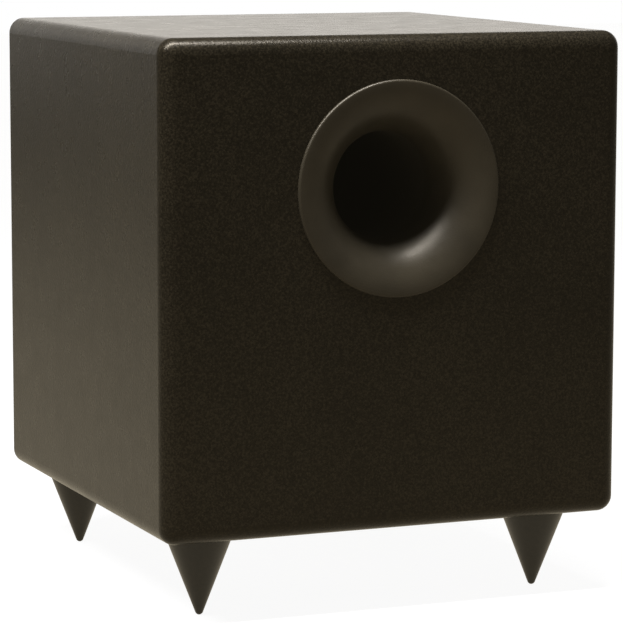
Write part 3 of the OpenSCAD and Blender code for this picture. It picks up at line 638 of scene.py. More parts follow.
def turned(profile: Profile, axis: Axis, centre: Vector, steps: int = 128) -> Mesh:
    """Spins a closed profile round an axis.

    Args:
        profile: Points of radius and place along the axis, in order round the section.
        axis: Direction of the axis.
        centre: A point on the axis.
        steps: Number of steps in a full turn.

    Returns:
        The closed mesh.
    """
    mesh = bmesh.new()
    points = [mesh.verts.new(axis.point(centre, r, a)) for r, a in profile]
    edges = [mesh.edges.new((p, q)) for p, q in zip(points, points[1:] + points[:1])]
    whole = {"angle": math.tau, "steps": steps, "use_merge": True, "use_duplicate": False}
    bmesh.ops.spin(mesh, geom=points + edges, cent=centre, axis=axis.value, **whole)
    bmesh.ops.remove_doubles(mesh, verts=mesh.verts, dist=2e-6)
    bmesh.ops.dissolve_degenerate(mesh, edges=mesh.edges, dist=1e-7)
    bmesh.ops.recalc_face_normals(mesh, faces=mesh.faces)
    return mesh


def block(mesh: Mesh, low: Vector, high: Vector, bevel: float = 0.0, turn: Matrix | None = None) -> None:
    """Adds a block, with its edges broken where a bevel is given.

    Args:
        mesh: The mesh that takes it.
        low: Lowest corner.
        high: Highest corner.
        bevel: Width of the broken edges.
        turn: A turn about the block's own middle.
    """
    stretch = Matrix.Diagonal((*(high - low), 1.0))
    place = Matrix.Translation((low + high) / 2) @ (turn or Matrix.Identity(4)) @ stretch
    made = bmesh.ops.create_cube(mesh, size=1.0, matrix=place)
    if bevel > 0:
        break_edges(mesh, made["verts"], bevel)


def break_edges(mesh: Mesh, verts: Iterable[bmesh.types.BMVert], width: float) -> None:
    """Bevels every edge that meets the given points.

    Args:
        mesh: The mesh.
        verts: The points.
        width: Width of the broken edges.
    """
    edges = list({e for v in verts for e in v.link_edges})
    bmesh.ops.bevel(mesh, geom=edges, offset=width, segments=2, profile=0.5, affect="EDGES", material=-1)


def arc(centre: Point, radii: Point, start: float, end: float, steps: int) -> Profile:
    """Points of an elliptical arc in the plane of radius and axis.

    Args:
        centre: Middle of the ellipse.
        radii: Its half axes.
        start: First angle in degrees.
        end: Last angle in degrees.
        steps: Number of steps.

    Returns:
        The points.
    """
    out = []
    for i in range(steps + 1):
        a = math.radians(start + (end - start) * i / steps)
        out.append((centre[0] + radii[0] * math.cos(a), centre[1] + radii[1] * math.sin(a)))
    return out


def tube(name: str, points: Sequence[Vector], radius: float, finish: Finish, sides: int = 4) -> Piece:
    """A round lead through points, as a closed mesh.

    Args:
        name: Name of the piece.
        points: Points of the lead's middle line.
        radius: Its radius.
        finish: Its finish.
        sides: Bevel resolution of the round section.

    Returns:
        The object.
    """
    curve = bpy.data.curves.new(name, "CURVE")
    curve.dimensions = "3D"
    curve.bevel_depth = radius
    curve.bevel_resolution = sides
    curve.resolution_u = 10
    curve.use_fill_caps = True
    spline = curve.splines.new("NURBS")
    spline.points.add(len(points) - 1)
    for place, point in zip(spline.points, points):
        place.co = (*point, 1.0)
    spline.use_endpoint_u = True
    spline.order_u = 4
    helper = bpy.data.objects.new(name + "_line", curve)
    bpy.context.scene.collection.objects.link(helper)
    bpy.context.view_layer.update()
    data = bpy.data.meshes.new_from_object(helper.evaluated_get(bpy.context.evaluated_depsgraph_get()))
    bpy.data.objects.remove(helper)
    mesh = bmesh.new()
    mesh.from_mesh(data)
    bpy.data.meshes.remove(data)
    bmesh.ops.remove_doubles(mesh, verts=mesh.verts, dist=1e-6)
    bmesh.ops.recalc_face_normals(mesh, faces=mesh.faces)
    return finished(mesh, name, finish)


def joined(name: str, parts: Sequence[Piece], finish: Finish) -> Piece:
    """Puts several helper objects into one piece.

    Args:
        name: Name of the piece.
        parts: The helpers, which are removed.
        finish: The piece's finish.

    Returns:
        The piece.
    """
    mesh = bmesh.new()
    for part in parts:
        mesh.from_mesh(part.data)
        bpy.data.objects.remove(part)
    return finished(mesh, name, finish)


def apply_modifiers(piece: Piece) -> None:
    """Turns what the modifiers make into the piece's own mesh.

    Args:
        piece: The piece.
    """
    bpy.context.view_layer.update()
    shown = piece.evaluated_get(bpy.context.evaluated_depsgraph_get())
    data = bpy.data.meshes.new_from_object(shown)
    piece.modifiers.clear()
    old = piece.data
    piece.data = data
    bpy.data.meshes.remove(old)


def across(piece: Piece, weight: Callable[[Vector], float]) -> None:
    """Bakes a soft piece's place into its mesh and works out the cone's share of its motion at each point;
    the shares are not used.

    Args:
        piece: The soft piece.
        weight: Share of the cone's motion at a point.
    """
    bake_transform(piece)
    shares = np.array([weight(v.co) for v in piece.data.vertices], np.float32)


def eased(value: float) -> float:
    """A smooth step from 0 to 1."""
    value = min(1.0, max(0.0, value))
    return value * value * (3 - 2 * value)


class Dresser:
    """Gives finishes to the frame's nodes and reports each piece."""

    def __init__(self, nodes: dict[str, Piece]) -> None:
        """Keeps the frame's nodes.

        Args:
            nodes: The nodes by name.
        """
        self.nodes = nodes

    def dress(self, finish: Finish, *names: str) -> None:
        """Gives nodes a finish.

        Args:
            finish: The finish.
            *names: The nodes.
        """
        for name in names:
            data = self.nodes[name].data
            data.materials.clear()
            data.materials.append(finish.material())
            LOG.info("%s: %s", name, finish.name)

    def stand_for(self, piece: Piece, slot: str, body: str | None, *names: str) -> Piece:
        """Puts a new piece in place of nodes.

        Args:
            piece: The new piece.
            slot: Not used.
            body: The body that it rides on, or None where it is attached to no body.
            *names: The nodes that it stands for.

        Returns:
            The piece.
        """
        if body:
            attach(piece, body)
        if names:
            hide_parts(*names)
        LOG.info("%s: %d faces, for %s", piece.name, len(piece.data.polygons), ", ".join(names) or "detail")
        return piece


# ------------------------------------------------------------------ the subwoofer's finishes

PAINT = TexturedPaint("textured_black_paint", (0.0070, 0.0057, 0.0036), 0.28)
BOARD = Fibreboard("raw_board", (0.40, 0.27, 0.16), 0.8)
WADDING = Fibres("wadding", (0.84, 0.83, 0.80), 0.95)
FLARE = Moulded("flare_plastic", (0.018, 0.0150, 0.0100), 0.37, 1000.0, 0.00016, 1.29, (1.0, 0.91, 0.78))
TUBE = Moulded("tube_plastic", (0.020, 0.0168, 0.0115), 0.50)
SPIKE = Lacquered("spike_lacquer", (0.0070, 0.0059, 0.0039), 0.38)
ZINC = BareMetal("zinc_plate", (0.62, 0.62, 0.60), 0.34)
PLATE_STEEL = BareMetal("plated_steel", (0.50, 0.50, 0.50), 0.38, (30.0, 1.0, 1.0))
NICKEL = BareMetal("nickel_plate", (0.74, 0.72, 0.67), 0.2, (1.0, 25.0, 1.0))
BASKET = PowderCoat("basket_coat", (0.020, 0.020, 0.020), 0.45)
FOAM = Rubber("foam_gasket", (0.030, 0.030, 0.030), 0.85, 1200.0, 0.0003)
BLACK_OXIDE = Lacquered("black_oxide", (0.018, 0.018, 0.019), 0.38, 600.0)
TRIM = Moulded("trim_plastic", (0.014, 0.014, 0.014), 0.5)
BUTYL = Rubber("surround_rubber", (0.014, 0.014, 0.014), 0.52)
CLOTH = Cloth("spider_cloth", (0.62, 0.40, 0.11), 0.75)
FILM = Moulded("former_film", (0.50, 0.28, 0.07), 0.25)
COPPER = Wound("copper_winding", (0.80, 0.37, 0.20), 0.3, 1500.0, "Z", 1.0)
BRAID = Wound("braided_copper", (0.78, 0.45, 0.28), 0.35, 900.0, "Y", 1.0)
FERRITE = PowderCoat("sintered_ferrite", (0.035, 0.035, 0.038), 0.62, 700.0)
PHENOLIC = Fibreboard("phenolic_board", (0.20, 0.10, 0.045), 0.5)
LEAD_RED = Moulded("lead_insulation", (0.42, 0.030, 0.025), 0.4)
PLATE = PowderCoat("plate_coat", (0.014, 0.014, 0.014), 0.42)
SINK = PowderCoat("sink_anodised", (0.012, 0.012, 0.013), 0.36, 2400.0, 0.00004)
MASK = SolderMask("solder_mask", (0.02, 0.13, 0.05), 0.35)
TAPE = Wound("transformer_tape", (0.66, 0.50, 0.10), 0.35, 55.0, "DIAGONAL")
SLEEVE = Moulded("capacitor_sleeve", (0.02, 0.025, 0.07), 0.25)
JACK = Moulded("jack_plastic", (0.42, 0.02, 0.02), 0.3)
KNOB = Moulded("knob_plastic", (0.013, 0.013, 0.013), 0.42, 1800.0, 0.00005)
LEVER = Moulded("lever_plastic", (0.72, 0.72, 0.68), 0.4)
SWITCH = Moulded("switch_plastic", (0.013, 0.013, 0.013), 0.45)
PADDLE = Moulded("rocker_plastic", (0.010, 0.010, 0.010), 0.16)
FUSE_GLASS = Moulded("fuse_glass", (0.55, 0.57, 0.56), 0.08)
BLUE_LENS = Lens("blue_lens", (0.08, 0.25, 0.9), 0.1)
WHITE_INK = Ink("white_ink", (0.72, 0.72, 0.70), 0.5)


# ------------------------------------------------------------------ sub-assemblies


@dataclass
class Cabinet:
    """The board box, its brace and its wadding."""

    dresser: Dresser
    pad_fill: float = 0.5
    pad_depth: float = 18.0 * MM
    pad_gap: float = 8.0 * MM
    panels: tuple[str, ...] = (
        "front_baffle", "top_panel", "bottom_panel", "left_panel", "right_panel", "rear_panel"
    )

    def build(self) -> None:
        """Dresses the boards and lays the wadding."""
        self.dresser.dress(PAINT, *self.panels)
        self.dresser.dress(BOARD, "window_brace")
        self.lay_wadding()

    def lay_wadding(self) -> None:
        """Lays a batt along each side wall and one under the top."""
        low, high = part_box("damping_pads")
        deep = self.pad_depth
        deck = high.z - deep
        skirt = deck - self.pad_gap
        step = self.pad_gap / 2
        right = Vector((high.x - deep, low.y, low.z))
        top = Vector((low.x + step, low.y, deck))
        batts = [
            Batt("wadding_left", low, Vector((low.x + deep, high.y, skirt)), Vector((1, 0, 0))),
            Batt("wadding_right", right, Vector((high.x, high.y, skirt)), Vector((-1, 0, 0))),
            Batt("wadding_top", top, high - Vector((step, 0, 0)), Vector((0, 0, -1))),
        ]
        for piece in Batt.lofted(batts):
            self.dresser.stand_for(piece, "polyester_wadding", "cabinet", "damping_pads")


@dataclass
class Batt:
    """One batt of wadding, stapled to a wall and fluffed up by its own spring."""

    name: str
    low: Vector
    high: Vector
    inward: Vector
    inset: float = 2.6 * MM
    voxel: float = 5.0 * MM
    pressure: float = 4.0
    frames: int = 20
    reach: float = 2.4 * MM
    dimple: float = 6.0 * MM
    dimple_width: float = 16.0 * MM
    lump: float = 1.2 * MM
    cuts: int = 30
    rounding: int = 2

    def staples(self) -> list[Vector]:
        """Places of the six staples, on the side that faces the room."""
        middle, half = (self.low + self.high) / 2, (self.high - self.low) / 2
        axes = [Vector(axis) for axis in ((1, 0, 0), (0, 1, 0), (0, 0, 1))]
        flat = [axis for axis in axes if abs(axis.dot(self.inward)) < 0.5]
        places = []
        for along in (-0.62, 0.0, 0.62):
            for across_it in (-0.5, 0.5):
                shift = flat[0] * (flat[0].dot(half) * (across_it if flat[0].y == 0 else along))
                shift += flat[1] * (flat[1].dot(half) * (along if flat[0].y == 0 else across_it))
                places.append(middle + shift + self.inward * abs(self.inward.dot(half)))
        return places

    def cut(self) -> Piece:
        """Returns the batt before it springs up: a little smaller, with soft edges and dimples."""
        mesh = bmesh.new()
        margin = Vector((self.inset,) * 3)
        block(mesh, self.low + margin, self.high - margin)
        bmesh.ops.subdivide_edges(mesh, edges=mesh.edges, cuts=self.cuts, use_grid_fill=True)
        every_way = {"use_axis_x": True, "use_axis_y": True, "use_axis_z": True}
        for _ in range(self.rounding):
            bmesh.ops.smooth_vert(mesh, verts=mesh.verts, factor=0.5, **every_way)
        room = (self.low + self.high) / 2
        for vert in mesh.verts:
            lift = max(0.0, (vert.co - room).dot(self.inward)) / abs((self.high - room).dot(self.inward))
            near = min((vert.co - place).length for place in self.staples())
            vert.co -= self.inward * (lift * self.dimple * math.exp(-((near / self.dimple_width) ** 2)))
            vert.co -= self.inward * (lift * self.lump * max(0.0, noise.fractal(vert.co * 40.0, 0.9, 2.0, 3)))
        bmesh.ops.recalc_face_normals(mesh, faces=mesh.faces)
        return finished(mesh, self.name, WADDING, 180.0)

    def prepare(self, piece: Piece) -> None:
        """Remeshes the batt and makes it a cloth under pressure.

        Args:
            piece: The batt.
        """
        remesh = piece.modifiers.new("voxels", "REMESH")
        remesh.mode = "VOXEL"
        remesh.voxel_size = self.voxel
        apply_modifiers(piece)
        cloth = piece.modifiers.new("spring", "CLOTH")
        cloth.settings.use_pressure = True
        cloth.settings.uniform_pressure_force = self.pressure
        cloth.settings.effector_weights.gravity = 0.0
        cloth.settings.time_scale = 0.5
        cloth.point_cache.frame_start, cloth.point_cache.frame_end = 1, self.frames

    def settle(self, piece: Piece) -> None:
        """Keeps the shape that the cloth has now, within the batt's room.

        Args:
            piece: The batt.
        """
        before = [v.co.copy() for v in piece.data.vertices]
        apply_modifiers(piece)
        for vert, was in zip(piece.data.vertices, before):
            move = vert.co - was
            if move.length > self.reach:
                vert.co = was + move.normalized() * self.reach
        self.refine(piece)

    def refine(self, piece: Piece) -> None:
        """Adds one level of subdivision and smooth shading.

        Args:
            piece: The batt.
        """
        finer = piece.modifiers.new("finer", "SUBSURF")
        finer.levels = finer.render_levels = 1
        apply_modifiers(piece)
        piece.data.polygons.foreach_set("use_smooth", [True] * len(piece.data.polygons))

    @staticmethod
    def lofted(batts: Sequence["Batt"]) -> list[Piece]:
        """Lets all the batts spring up together.

        Args:
            batts: The batts.

        Returns:
            Their pieces.
        """
        pieces = [batt.cut() for batt in batts]
        for batt, piece in zip(batts, pieces):
            batt.prepare(piece)
        scene = bpy.context.scene
        for frame in range(1, batts[0].frames + 1):
            scene.frame_set(frame)
        for batt, piece in zip(batts, pieces):
            batt.settle(piece)
        scene.frame_set(1)
        return pieces


@dataclass
class ReflexPort:
    """The flared mouth, the tube and the flare inside the cabinet."""

    dresser: Dresser
    throat: float = 32.5 * MM
    proud: float = 2.0 * MM
    lip: float = 1.4 * MM
    depth: float = 34.0 * MM
    wall: float = 3.0 * MM
    rim: float = 5.0 * MM
    tube_wall: float = 2.5 * MM
    socket: float = 16.0 * MM
    socket_wall: float = 2.5 * MM
    inner_depth: float = 18.0 * MM
    fit: float = 0.1 * MM

    def build(self) -> None:
        """Turns the three mouldings."""
        low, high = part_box("port_flare")
        face = low.y + self.proud
        centre = Vector(((low.x + high.x) / 2, face, (low.z + high.z) / 2))
        reach = (high.z - low.z) / 2
        tube_low, tube_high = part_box("port_tube")
        self.throat = (tube_high.x - tube_low.x) / 2 - self.tube_wall
        seat = tube_low.y - face - self.fit
        end = tube_high.y - face + self.fit
        self.flare(centre, reach, seat)
        self.tube(centre, seat, end)
        self.inner(centre, end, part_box("port_inner_flare"))

    def flare(self, centre: Vector, reach: float, seat: float) -> None:
        """The mouth: a rounded lip on the baffle and an elliptical throat.

        Args:
            centre: The axis at the baffle's face.
            reach: Radius of the lip.
            seat: Where the tube starts.
        """
        mouth = reach - self.lip
        deep = self.depth - self.proud
        slot = self.throat + self.tube_wall + self.fit
        collar = slot + self.socket_wall
        throat = arc((mouth, deep), (mouth - self.throat, self.depth), -90.0, -180.0, 56)
        swell = (reach - self.rim - self.throat - self.wall, deep - 1 * MM)
        back = arc((reach - self.rim, deep), swell, -180.0, -90.0, 28)
        lip = arc((mouth, -self.proud + self.lip), (self.lip, self.lip), 0.0, -90.0, 12)
        sleeve = seat + self.socket
        profile = throat + [(self.throat, seat), (slot, seat), (slot, sleeve), (collar, sleeve)]
        profile += [(collar, seat - 4 * MM)] + back + [(reach - self.rim, 0.0), (reach, 0.0)] + lip[:-1]
        piece = finished(turned(profile, Axis.Y, centre, 192), "flare_moulding", FLARE, 40.0)
        self.dresser.stand_for(piece, "port_plastic", "cabinet", "port_flare")

    def tube(self, centre: Vector, seat: float, end: float) -> None:
        """The tube, with four stiffening rings pressed into it.

        Args:
            centre: The axis at the baffle's face.
            seat: Where the tube starts.
            end: Where it ends.
        """
        inner, outer = self.throat, self.throat + self.tube_wall
        start, stop = seat + self.fit, end - self.fit
        profile: Profile = [(inner, start), (inner, stop), (outer, stop)]
        free = (start + self.socket + 6 * MM, stop - self.socket - 6 * MM)
        for i in range(4):
            at = free[1] - (free[1] - free[0]) * (i + 0.5) / 4
            groove = outer - 0.6 * MM
            profile += [(outer, at + 2 * MM), (groove, at + 1 * MM)]
            profile += [(groove, at - 1 * MM), (outer, at - 2 * MM)]
        profile.append((outer, start))
        piece = finished(turned(profile, Axis.Y, centre, 128), "tube_extrusion", TUBE)
        self.dresser.stand_for(piece, "tube_plastic", "cabinet", "port_tube")

    def inner(self, centre: Vector, end: float, box: tuple[Vector, Vector]) -> None:
        """The flare inside the cabinet.

        Args:
            centre: The axis at the baffle's face.
            end: Where the tube ends.
            box: The node's own box.
        """
        reach = (box[1].z - box[0].z) / 2
        slot = self.throat + self.tube_wall + self.fit
        collar = slot + self.socket_wall
        inner = arc((reach, end), (reach - self.throat, self.inner_depth), 90.0, 180.0, 36)
        back = arc((reach, end - self.wall), (reach - collar, self.inner_depth), 180.0, 90.0, 24)
        profile = inner + [(slot, end), (slot, end - self.socket), (collar, end - self.socket)] + back
        piece = finished(turned(profile, Axis.Y, centre, 128), "inner_flare_moulding", FLARE, 40.0)
        self.dresser.stand_for(piece, "port_plastic", "cabinet", "port_inner_flare")


class Corner(Enum):
    """The four feet, by the names their nodes end with."""

    FRONT_LEFT = "fl"
    FRONT_RIGHT = "fr"
    BACK_LEFT = "bl"
    BACK_RIGHT = "br"


@dataclass
class Feet:
    """Turned cone spikes on threaded studs, in inserts."""

    dresser: Dresser
    tip: float = 2.5 * MM
    chamfer: float = 0.6 * MM
    pitch: float = 1.25 * MM
    tooth: float = 0.62 * MM
    bore: float = 4.05 * MM
    seat: float = 14.0 * MM
    stud: float = 4.0 * MM

    def build(self) -> None:
        """Turns each foot and cuts its thread."""
        self.dresser.dress(ZINC, "foot_inserts")
        for corner in Corner:
            self.spike(corner)
            self.thread(corner)

    def spike(self, corner: Corner) -> None:
        """One spike: a cone with a round tip, a broken top edge and a threaded socket.

        Args:
            corner: Which foot.
        """
        low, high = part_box(f"foot_spike_{corner.value}")
        centre = Vector(((low.x + high.x) / 2, (low.y + high.y) / 2, 0.0))
        reach, top = (high.x - low.x) / 2, high.z
        slope = math.degrees(math.atan2(reach - self.tip, top - self.tip))
        nose = arc((0.0, self.tip), (self.tip, self.tip), -90.0, -slope, 12)
        rim = arc((reach - self.chamfer, top - self.chamfer), (self.chamfer, self.chamfer), -slope, 90.0, 8)
        (r0, z0), (r1, z1) = nose[-1], rim[0]
        side = [(r0 + (r1 - r0) * t, z0 + (z1 - z0) * t) for t in (0.33, 0.66)]
        floor = top - self.seat
        profile = nose + side + rim + [(self.bore + 0.5 * MM, top), (self.bore, top - 0.5 * MM)]
        profile += [(self.bore, floor), (0.0, floor - 1.2 * MM)]
        piece = finished(turned(profile, Axis.Z, centre, 96), f"spike_{corner.value}_turned", SPIKE, 36.0)
        self.dresser.stand_for(piece, "spike_lacquer", f"spike_{corner.value}", f"foot_spike_{corner.value}")

    def thread(self, corner: Corner) -> None:
        """One stud: a core with a helical thread wound round it.

        Args:
            corner: Which foot.
        """
        low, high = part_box(f"foot_stud_{corner.value}")
        centre = Vector(((low.x + high.x) / 2, (low.y + high.y) / 2, 0.0))
        root = self.stud - self.tooth
        ends = [(0.0, low.z), (root - 0.4 * MM, low.z), (root, low.z + 0.4 * MM), (root, high.z - 0.4 * MM)]
        core = turned(ends + [(root - 0.4 * MM, high.z), (0.0, high.z)], Axis.Z, centre, 32)
        margin = self.pitch
        turns = int((high.z - low.z - 2 * margin) / self.pitch)
        start = low.z + margin
        section = [(root - 0.15 * MM, start), (self.stud, start + self.pitch * 0.42)]
        section += [(self.stud, start + self.pitch * 0.5), (root - 0.15 * MM, start + self.pitch * 0.92)]
        points = [core.verts.new(Axis.Z.point(centre, r, a)) for r, a in section]
        first = core.faces.new(points)
        steps = 24
        bmesh.ops.spin(
            core,
            geom=[first],
            cent=centre,
            axis=Axis.Z.value,
            dvec=Vector((0, 0, self.pitch / steps)),
            angle=math.tau * turns,
            steps=steps * turns,
            use_merge=False,
            use_duplicate=False,
        )
        bmesh.ops.remove_doubles(core, verts=core.verts, dist=1e-7)
        bmesh.ops.recalc_face_normals(core, faces=core.faces)
        piece = finished(core, f"stud_{corner.value}_threaded", ZINC)
        self.dresser.stand_for(piece, "zinc_steel", f"stud_{corner.value}", f"foot_stud_{corner.value}")


@dataclass
class Driver:
    """The down-firing driver: basket, motor and soft suspension."""

    dresser: Dresser
    rubber: float = 1.0 * MM
    cone_wall: float = 1.2 * MM
    cap_wall: float = 0.8 * MM
    cloth: float = 0.6 * MM
    lead: float = 0.6 * MM
    centre: Vector = field(default_factory=Vector)

    def build(self) -> None:
        """Dresses the metal and models the soft pieces."""
        low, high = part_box("driver_basket")
        self.centre = Vector(((low.x + high.x) / 2, (low.y + high.y) / 2, 0.0))
        self.dresser.dress(BASKET, "driver_basket")
        self.dresser.dress(FOAM, "driver_gasket")
        self.dresser.dress(BLACK_OXIDE, "driver_screws")
        self.dresser.dress(TRIM, "surround_ring")
        self.dresser.dress(FILM, "voice_coil_former")
        self.dresser.dress(COPPER, "voice_coil_winding")
        self.dresser.dress(PLATE_STEEL, "driver_top_plate", "driver_yoke")
        self.dresser.dress(FERRITE, "driver_magnet")
        self.dresser.dress(PHENOLIC, "driver_terminals")
        self.surround()
        self.cone()
        self.dust_cap()
        self.spider()
        self.tinsel()

    def radius(self, node: str) -> float:
        """Outer radius of a turned node."""
        low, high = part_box(node)
        return (high.x - low.x) / 2

    def ring_share(self, inner: float, outer: float) -> Callable[[Vector], float]:
        """A share that falls from the cone's edge to the basket's.

        Args:
            inner: Radius inside which a point goes with the cone.
            outer: Radius outside which it stays.

        Returns:
            The share at a point.
        """

        def share(point: Vector) -> float:
            """The cone's share at a point."""
            reach = math.hypot(point.x - self.centre.x, point.y - self.centre.y)
            return 1.0 - eased((reach - inner) / (outer - inner))

        return share

    def suspend(self, piece: Piece, inner: float, outer: float) -> None:
        """For a ring between the basket and the cone, bakes its place into its mesh and works out the cone's
        share of its motion at each point; the shares are not used.

        Args:
            piece: The ring.
            inner: Radius inside which it goes with the cone.
            outer: Radius outside which it stays.
        """
        across(piece, self.ring_share(inner, outer))

    def surround(self) -> None:
        """The half roll, with a rolled foot at the basket and a lap on the cone."""
        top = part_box("driver_surround")[1].z
        seat_out = self.radius("driver_surround")
        cone = self.radius("driver_cone")
        t = self.rubber
        base = top - t
        roll_in, roll_out = cone + 1 * MM, seat_out - 7.2 * MM
        middle, r = (roll_in + roll_out) / 2, (roll_out - roll_in) / 2
        lean_out = math.degrees(math.asin(t / 2 / (r + t / 2)))
        lean_in = math.degrees(math.asin(t / 2 / (r - t / 2)))
        outer = arc((middle, base + t / 2), (r + t / 2, r + t / 2), 180 + lean_out, 360 - lean_out, 44)
        inner = arc((middle, base + t / 2), (r - t / 2, r - t / 2), 360 + lean_in, 180 - lean_in, 44)
        lap, foot = cone - 3 * MM, [(seat_out, base), (seat_out, top)]
        profile = [(lap, top), (lap, base)] + outer + foot + inner
        piece = finished(turned(profile, Axis.Z, self.centre, 160), "surround_roll", BUTYL, 50.0)
        self.suspend(piece, roll_in, roll_out)
        self.dresser.stand_for(piece, "surround_rubber", None, "driver_surround")

    def cone_line(self, low: Vector, high: Vector, rim: float, neck: float, steps: int) -> Profile:
        """The cone's face as a shallow curve from rim to neck.

        Args:
            low: Lowest corner of the cone.
            high: Highest corner of the cone.
            rim: Radius at the rim.
            neck: Radius at the neck.
            steps: Number of steps.

        Returns:
            Points from rim to neck.
        """
        start, end = low.z + 1.2 * MM, high.z - 2.6 * MM
        out = []
        for i in range(steps + 1):
            r = rim - (rim - neck) * i / steps
            out.append((r, start + (end - start) * ((rim + 2.5 * MM - r) / (rim + 2.5 * MM - neck)) ** 0.85))
        return out

    def cone(self) -> None:
        """The cone, with its flat glue rim and neck collar."""
        low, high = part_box("driver_cone")
        rim = self.radius("driver_cone")
        neck = self.radius("voice_coil_former") + 0.05 * MM
        line = self.cone_line(low, high, rim - 2.5 * MM, neck, 40)
        t = self.cone_wall
        under = [(max(r - 1 * MM, neck), z) for r, z in line]
        over = [(r + 1 * MM, z + t) for r, z in reversed(line)]
        collar = [(neck, high.z), (neck + 1 * MM, high.z)]
        profile = [(rim, low.z), (rim - 3.5 * MM, low.z)] + under[:-1] + collar + over
        profile.append((rim, low.z + t))
        cone_finish = PressedCone("pressed_cone", (0.016, 0.016, 0.0155), 0.5, tuple(self.centre))
        piece = finished(turned(profile, Axis.Z, self.centre, 160), "cone_pressing", cone_finish, 30.0)
        self.dresser.stand_for(piece, "cone_plastic", "cone_assembly", "driver_cone")

    def dust_cap(self) -> None:
        """The domed cap, with a rolled edge where it is glued."""
        reach = self.radius("driver_dust_cap")
        sag = 10 * MM
        ball = (reach**2 + sag**2) / (2 * sag)
        half = math.degrees(math.asin(reach / ball))
        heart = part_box("driver_dust_cap")[0].z + ball
        outer = arc((0.0, heart), (ball, ball), -90.0, -90.0 + half, 40)
        inner = arc((0.0, heart), (ball - self.cap_wall, ball - self.cap_wall), -90.0 + half, -90.0, 40)
        profile = [(max(r, 0.0), z) for r, z in outer + inner]
        cap_finish = PressedCone("cap_pressing", (0.018, 0.018, 0.018), 0.38, tuple(self.centre))
        piece = finished(turned(profile, Axis.Z, self.centre, 128), "dust_cap_dome", cap_finish, 40.0)
        self.dresser.stand_for(piece, "dust_cap_plastic", "cone_assembly", "driver_dust_cap")

    def spider(self) -> None:
        """The corrugated suspension cloth."""
        low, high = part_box("driver_spider")
        reach = self.radius("driver_spider")
        inner = self.radius("voice_coil_former") + 0.1 * MM
        last = reach - 5 * MM
        t = self.cloth
        level = high.z - t - 1.5 * MM
        steps, waves = 150, 5
        line = [(inner, max(level, low.z))]
        for i in range(steps + 1):
            share = i / steps
            out = inner + 1 * MM + (last - inner - 1 * MM) * share
            line.append((out, max(level + 1.5 * MM * math.sin(math.tau * waves * share), low.z)))
        seat = low.z + 0.6 * MM
        line += [(last + 3 * MM, seat), (reach, seat)]
        profile = line + [(r, z + t) for r, z in reversed(line)]
        piece = finished(turned(profile, Axis.Z, self.centre, 120), "spider_cloth_rings", CLOTH, 60.0)
        self.suspend(piece, inner + 1 * MM, last)
        self.dresser.stand_for(piece, "spider_cloth", None, "driver_spider")

    def tinsel(self) -> None:
        """The two braided leads, which curve in to the voice coil."""
        low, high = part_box("tinsel_leads")
        parts = []
        near = self.centre.y + self.radius("voice_coil_former") + 2.4 * MM
        far = high.y - 0.4 * MM
        for side in (-1, 1):
            out, home = side * (high.x - self.lead), side * 6 * MM
            level = high.z - 3.9 * MM
            points = [
                Vector((out, far, level)),
                Vector((out, far - 8 * MM, level - 3.6 * MM)),
                Vector((out, far - 18 * MM, low.z + 0.4 * MM)),
                Vector(((out * 2 + home) / 3, near + 16 * MM, low.z + 0.6 * MM)),
                Vector(((out + home) / 2, near + 6 * MM, low.z + 4.5 * MM)),
                Vector((home, near, high.z - 0.6 * MM)),
            ]
            parts.append(tube(f"tinsel_{side}", points, self.lead, BRAID, 3))
        piece = joined("tinsel_braids", parts, BRAID)
        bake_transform(piece)
        self.dresser.stand_for(piece, "copper_wire", None, "tinsel_leads")


